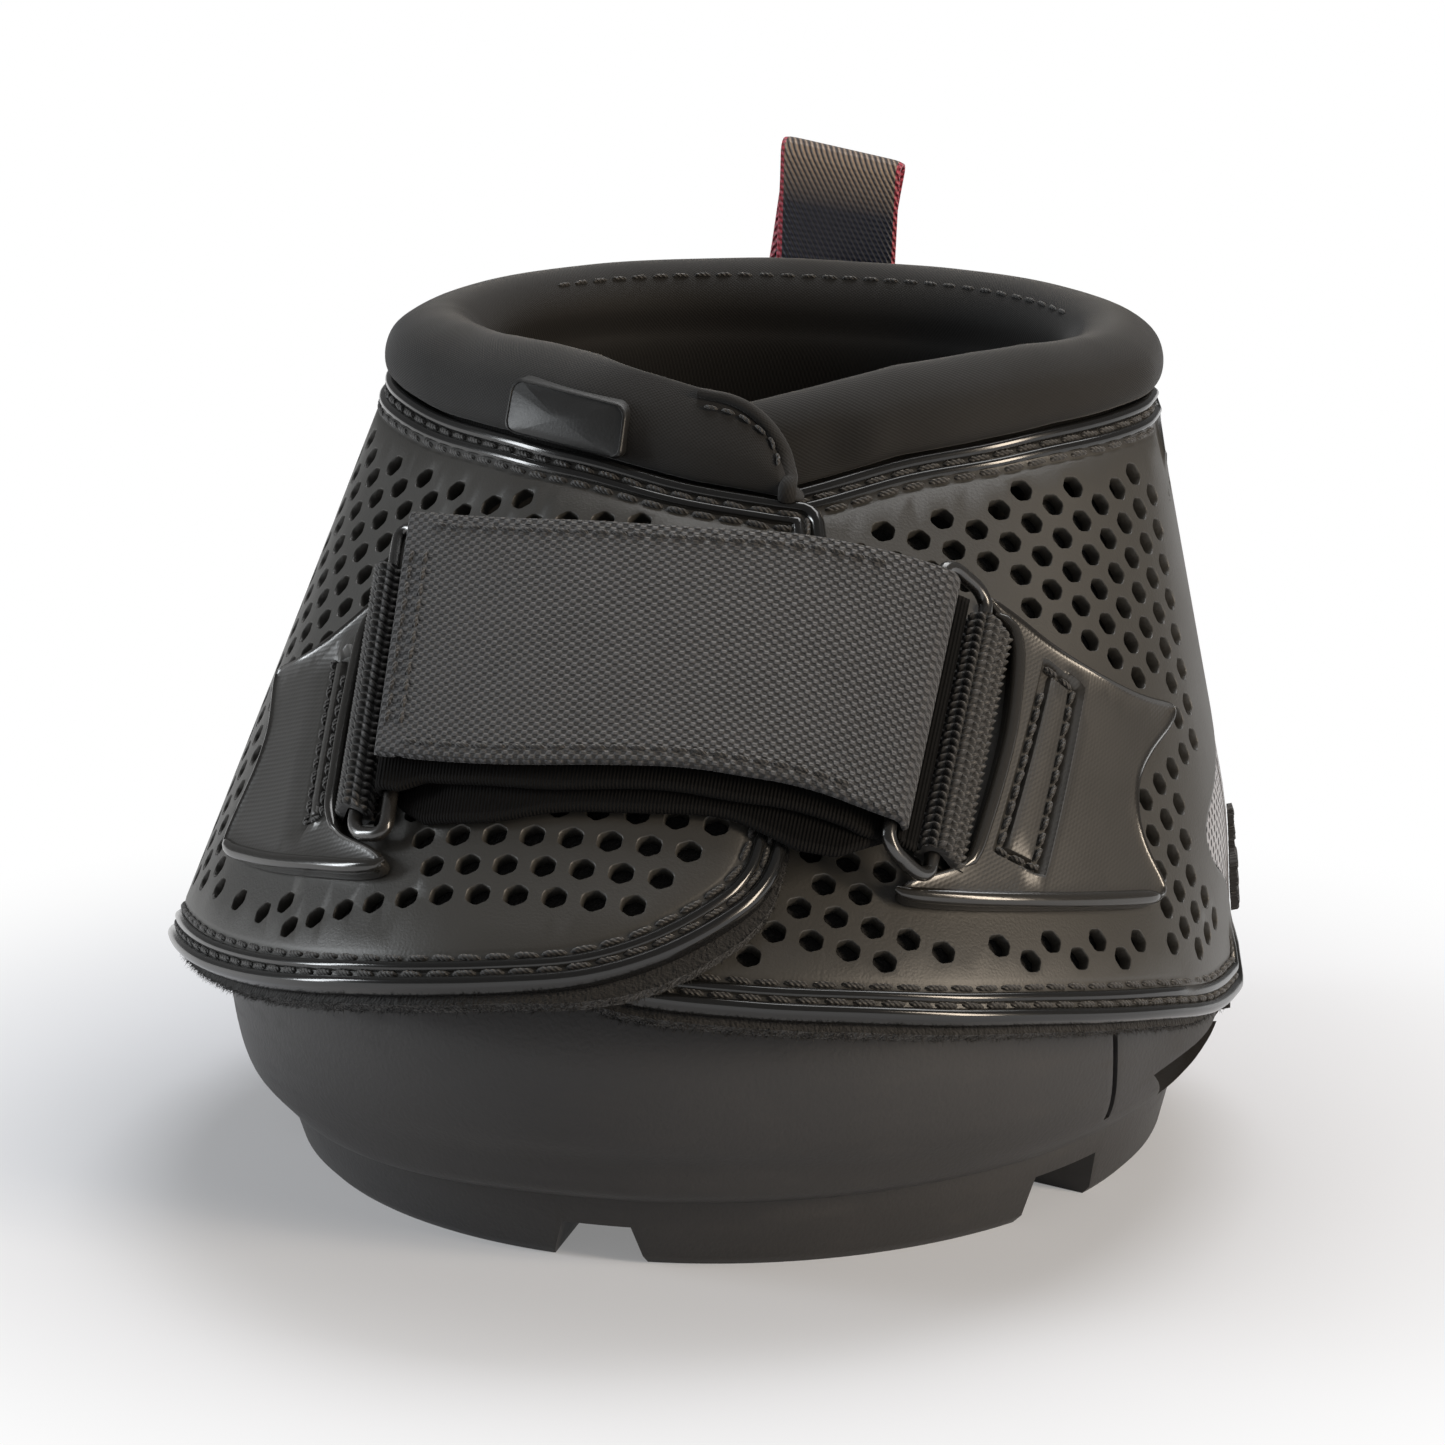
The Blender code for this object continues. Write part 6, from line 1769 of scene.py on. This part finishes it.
def make_lamp(name, place, size, power, colour):
    lamp = bpy.data.lights.new(name, "AREA")
    lamp.shape, lamp.size, lamp.size_y = "RECTANGLE", *size
    lamp.energy, lamp.color = power, colour
    thing = bpy.data.objects.new(name, lamp)
    bpy.context.collection.objects.link(thing)
    aim(thing, place, (0, -0.01, 0.05))


def make_stage():
    mesh = bpy.data.meshes.new("studio_floor")
    work = bmesh.new()
    bmesh.ops.create_grid(work, x_segments=8, y_segments=8, size=3.0)
    work.to_mesh(mesh)
    work.free()
    floor = bpy.data.objects.new("studio_floor", mesh)
    bpy.context.collection.objects.link(floor)
    finish = Finish("floor_paper", (0.72, 0.735, 0.78), 0.9)
    rays = [finish.node("LightPath", out=ray) for ray in ("Is Camera Ray", "Is Glossy Ray", "Is Transmission Ray")]
    seen = rays[0].join("MAXIMUM", rays[1]).join("MAXIMUM", rays[2])
    away = finish.node("VectorMath", {"operation": "LENGTH"}, {0: finish.place()}, "Value")
    reach = {"Value": away, "From Min": 0.07, "From Max": 0.175, "To Min": 0.22, "To Max": 1.0}
    white = finish.node("MapRange", {"interpolation_type": "SMOOTHSTEP"}, reach)
    glow = finish.node("Emission", (), {"Color": (1, 1, 1, 1), "Strength": 1.0})
    paper = Value(finish, finish.surface.outputs[0])
    both = finish.node("MixShader", (), {0: seen * white, 1: paper, 2: glow})
    finish.tree.links.new(both.socket, finish.output.inputs["Surface"])
    mesh.materials.append(finish.material)

    world = bpy.data.worlds.new("studio")
    world.use_nodes = True
    tree = world.node_tree
    tree.nodes.clear()
    rays = tree.nodes.new("ShaderNodeLightPath")
    most = tree.nodes.new("ShaderNodeMath")
    most.operation = "MAXIMUM"
    level = tree.nodes.new("ShaderNodeMapRange")
    level.inputs["To Min"].default_value = 0.22
    level.inputs["To Max"].default_value = 1.0
    background = tree.nodes.new("ShaderNodeBackground")
    output = tree.nodes.new("ShaderNodeOutputWorld")
    tree.links.new(rays.outputs["Is Camera Ray"], most.inputs[0])
    tree.links.new(rays.outputs["Is Transmission Ray"], most.inputs[1])
    tree.links.new(most.outputs[0], level.inputs["Value"])
    tree.links.new(level.outputs[0], background.inputs["Strength"])
    tree.links.new(background.outputs[0], output.inputs["Surface"])
    bpy.context.scene.world = world
    make_lamp("top_softbox", (0.05, 0.50, 1.0), (0.8, 0.6), 7.2, (1, 1, 1))
    make_lamp("left_softbox", (-1.08, -0.16, 0.24), (0.20, 0.7), 7.6, (0.93, 0.97, 1.0))
    make_lamp("right_softbox", (1.0, -0.34, 0.42), (0.20, 0.7), 10.4, (1.0, 0.85, 0.68))
    bpy.context.scene.view_settings.view_transform = "Standard"


make_camera()
make_stage()
make_sole()

strap_low = [(mix(*bottom_angles, s), h * rim_height) for s, h in strap_bottom]
strap_high = [(mix(*top_angles, s), h * rim_height) for s, h in strap_top]
strap_cover = [(strap_low[0][0] - 8, strap_low[0][1])] + strap_low
strap_cover += [(strap_low[-1][0] + 8, strap_low[-1][1]), (strap_high[-1][0] + 8, strap_high[-1][1])]
strap_cover += strap_high[::-1] + [(strap_high[0][0] - 8, strap_high[0][1])]
strap_cover = (np.array(strap_cover), 0.0010)
left_holes = (((-19.4, 0.4725), (8.5, 0.484)), 0.0047, 0,
              [(heights(left_edge_shares), 0.0030), strap_cover])
right_holes = (((32.9, 0.879), (59.7, 0.7865)), 0.0044, -16,
               [(heights(right_edge_shares), 0.0030), strap_cover, (heights(left_flap_shares), 0.0022)])
make_flap("left_flap_panel", left_flap_shares, left_lift, left_holes, "left_flap", "left_quarter")
make_flap("right_flap_panel", right_flap_shares, right_lift, right_holes, "right_flap", "right_quarter")
make_lining("left_felt", left_flap_shares, left_lift, "left_flap", "left_lining")
make_lining("right_felt", right_flap_shares, right_lift, "right_flap", "right_lining")
make_collars()
make_badge()
make_plate("left_plate", left_edge_shares, left_slot_shares, left_lift, "left_flap",
           "left_anchor_plate", ((6, 13, 0.0009), (16, 22, 0.0011)))
make_plate("right_plate", right_edge_shares, right_slot_shares, right_lift, "right_flap",
           "right_anchor_plate", ((26, 34, 0.0010), (17, 23, 0.0011)))
make_strap()
make_ring("left_wire_ring", left_front, left_rear, -0.25, 1.0, "strap", "left_ring")
make_ring("right_wire_ring", right_front, right_rear, -0.07, 1.07, "right_ring", "right_ring")
make_elastic("left_elastic_webbing", left_rear, (-0.0118, -0.0016), (-0.17, 0.82), "left_flap", "left_elastic")
make_elastic("right_elastic_webbing", right_rear, (0.0922, -0.0036), (0.03, 0.97), "right_flap",
             "right_elastic")
make_heel()
make_pull_tab()
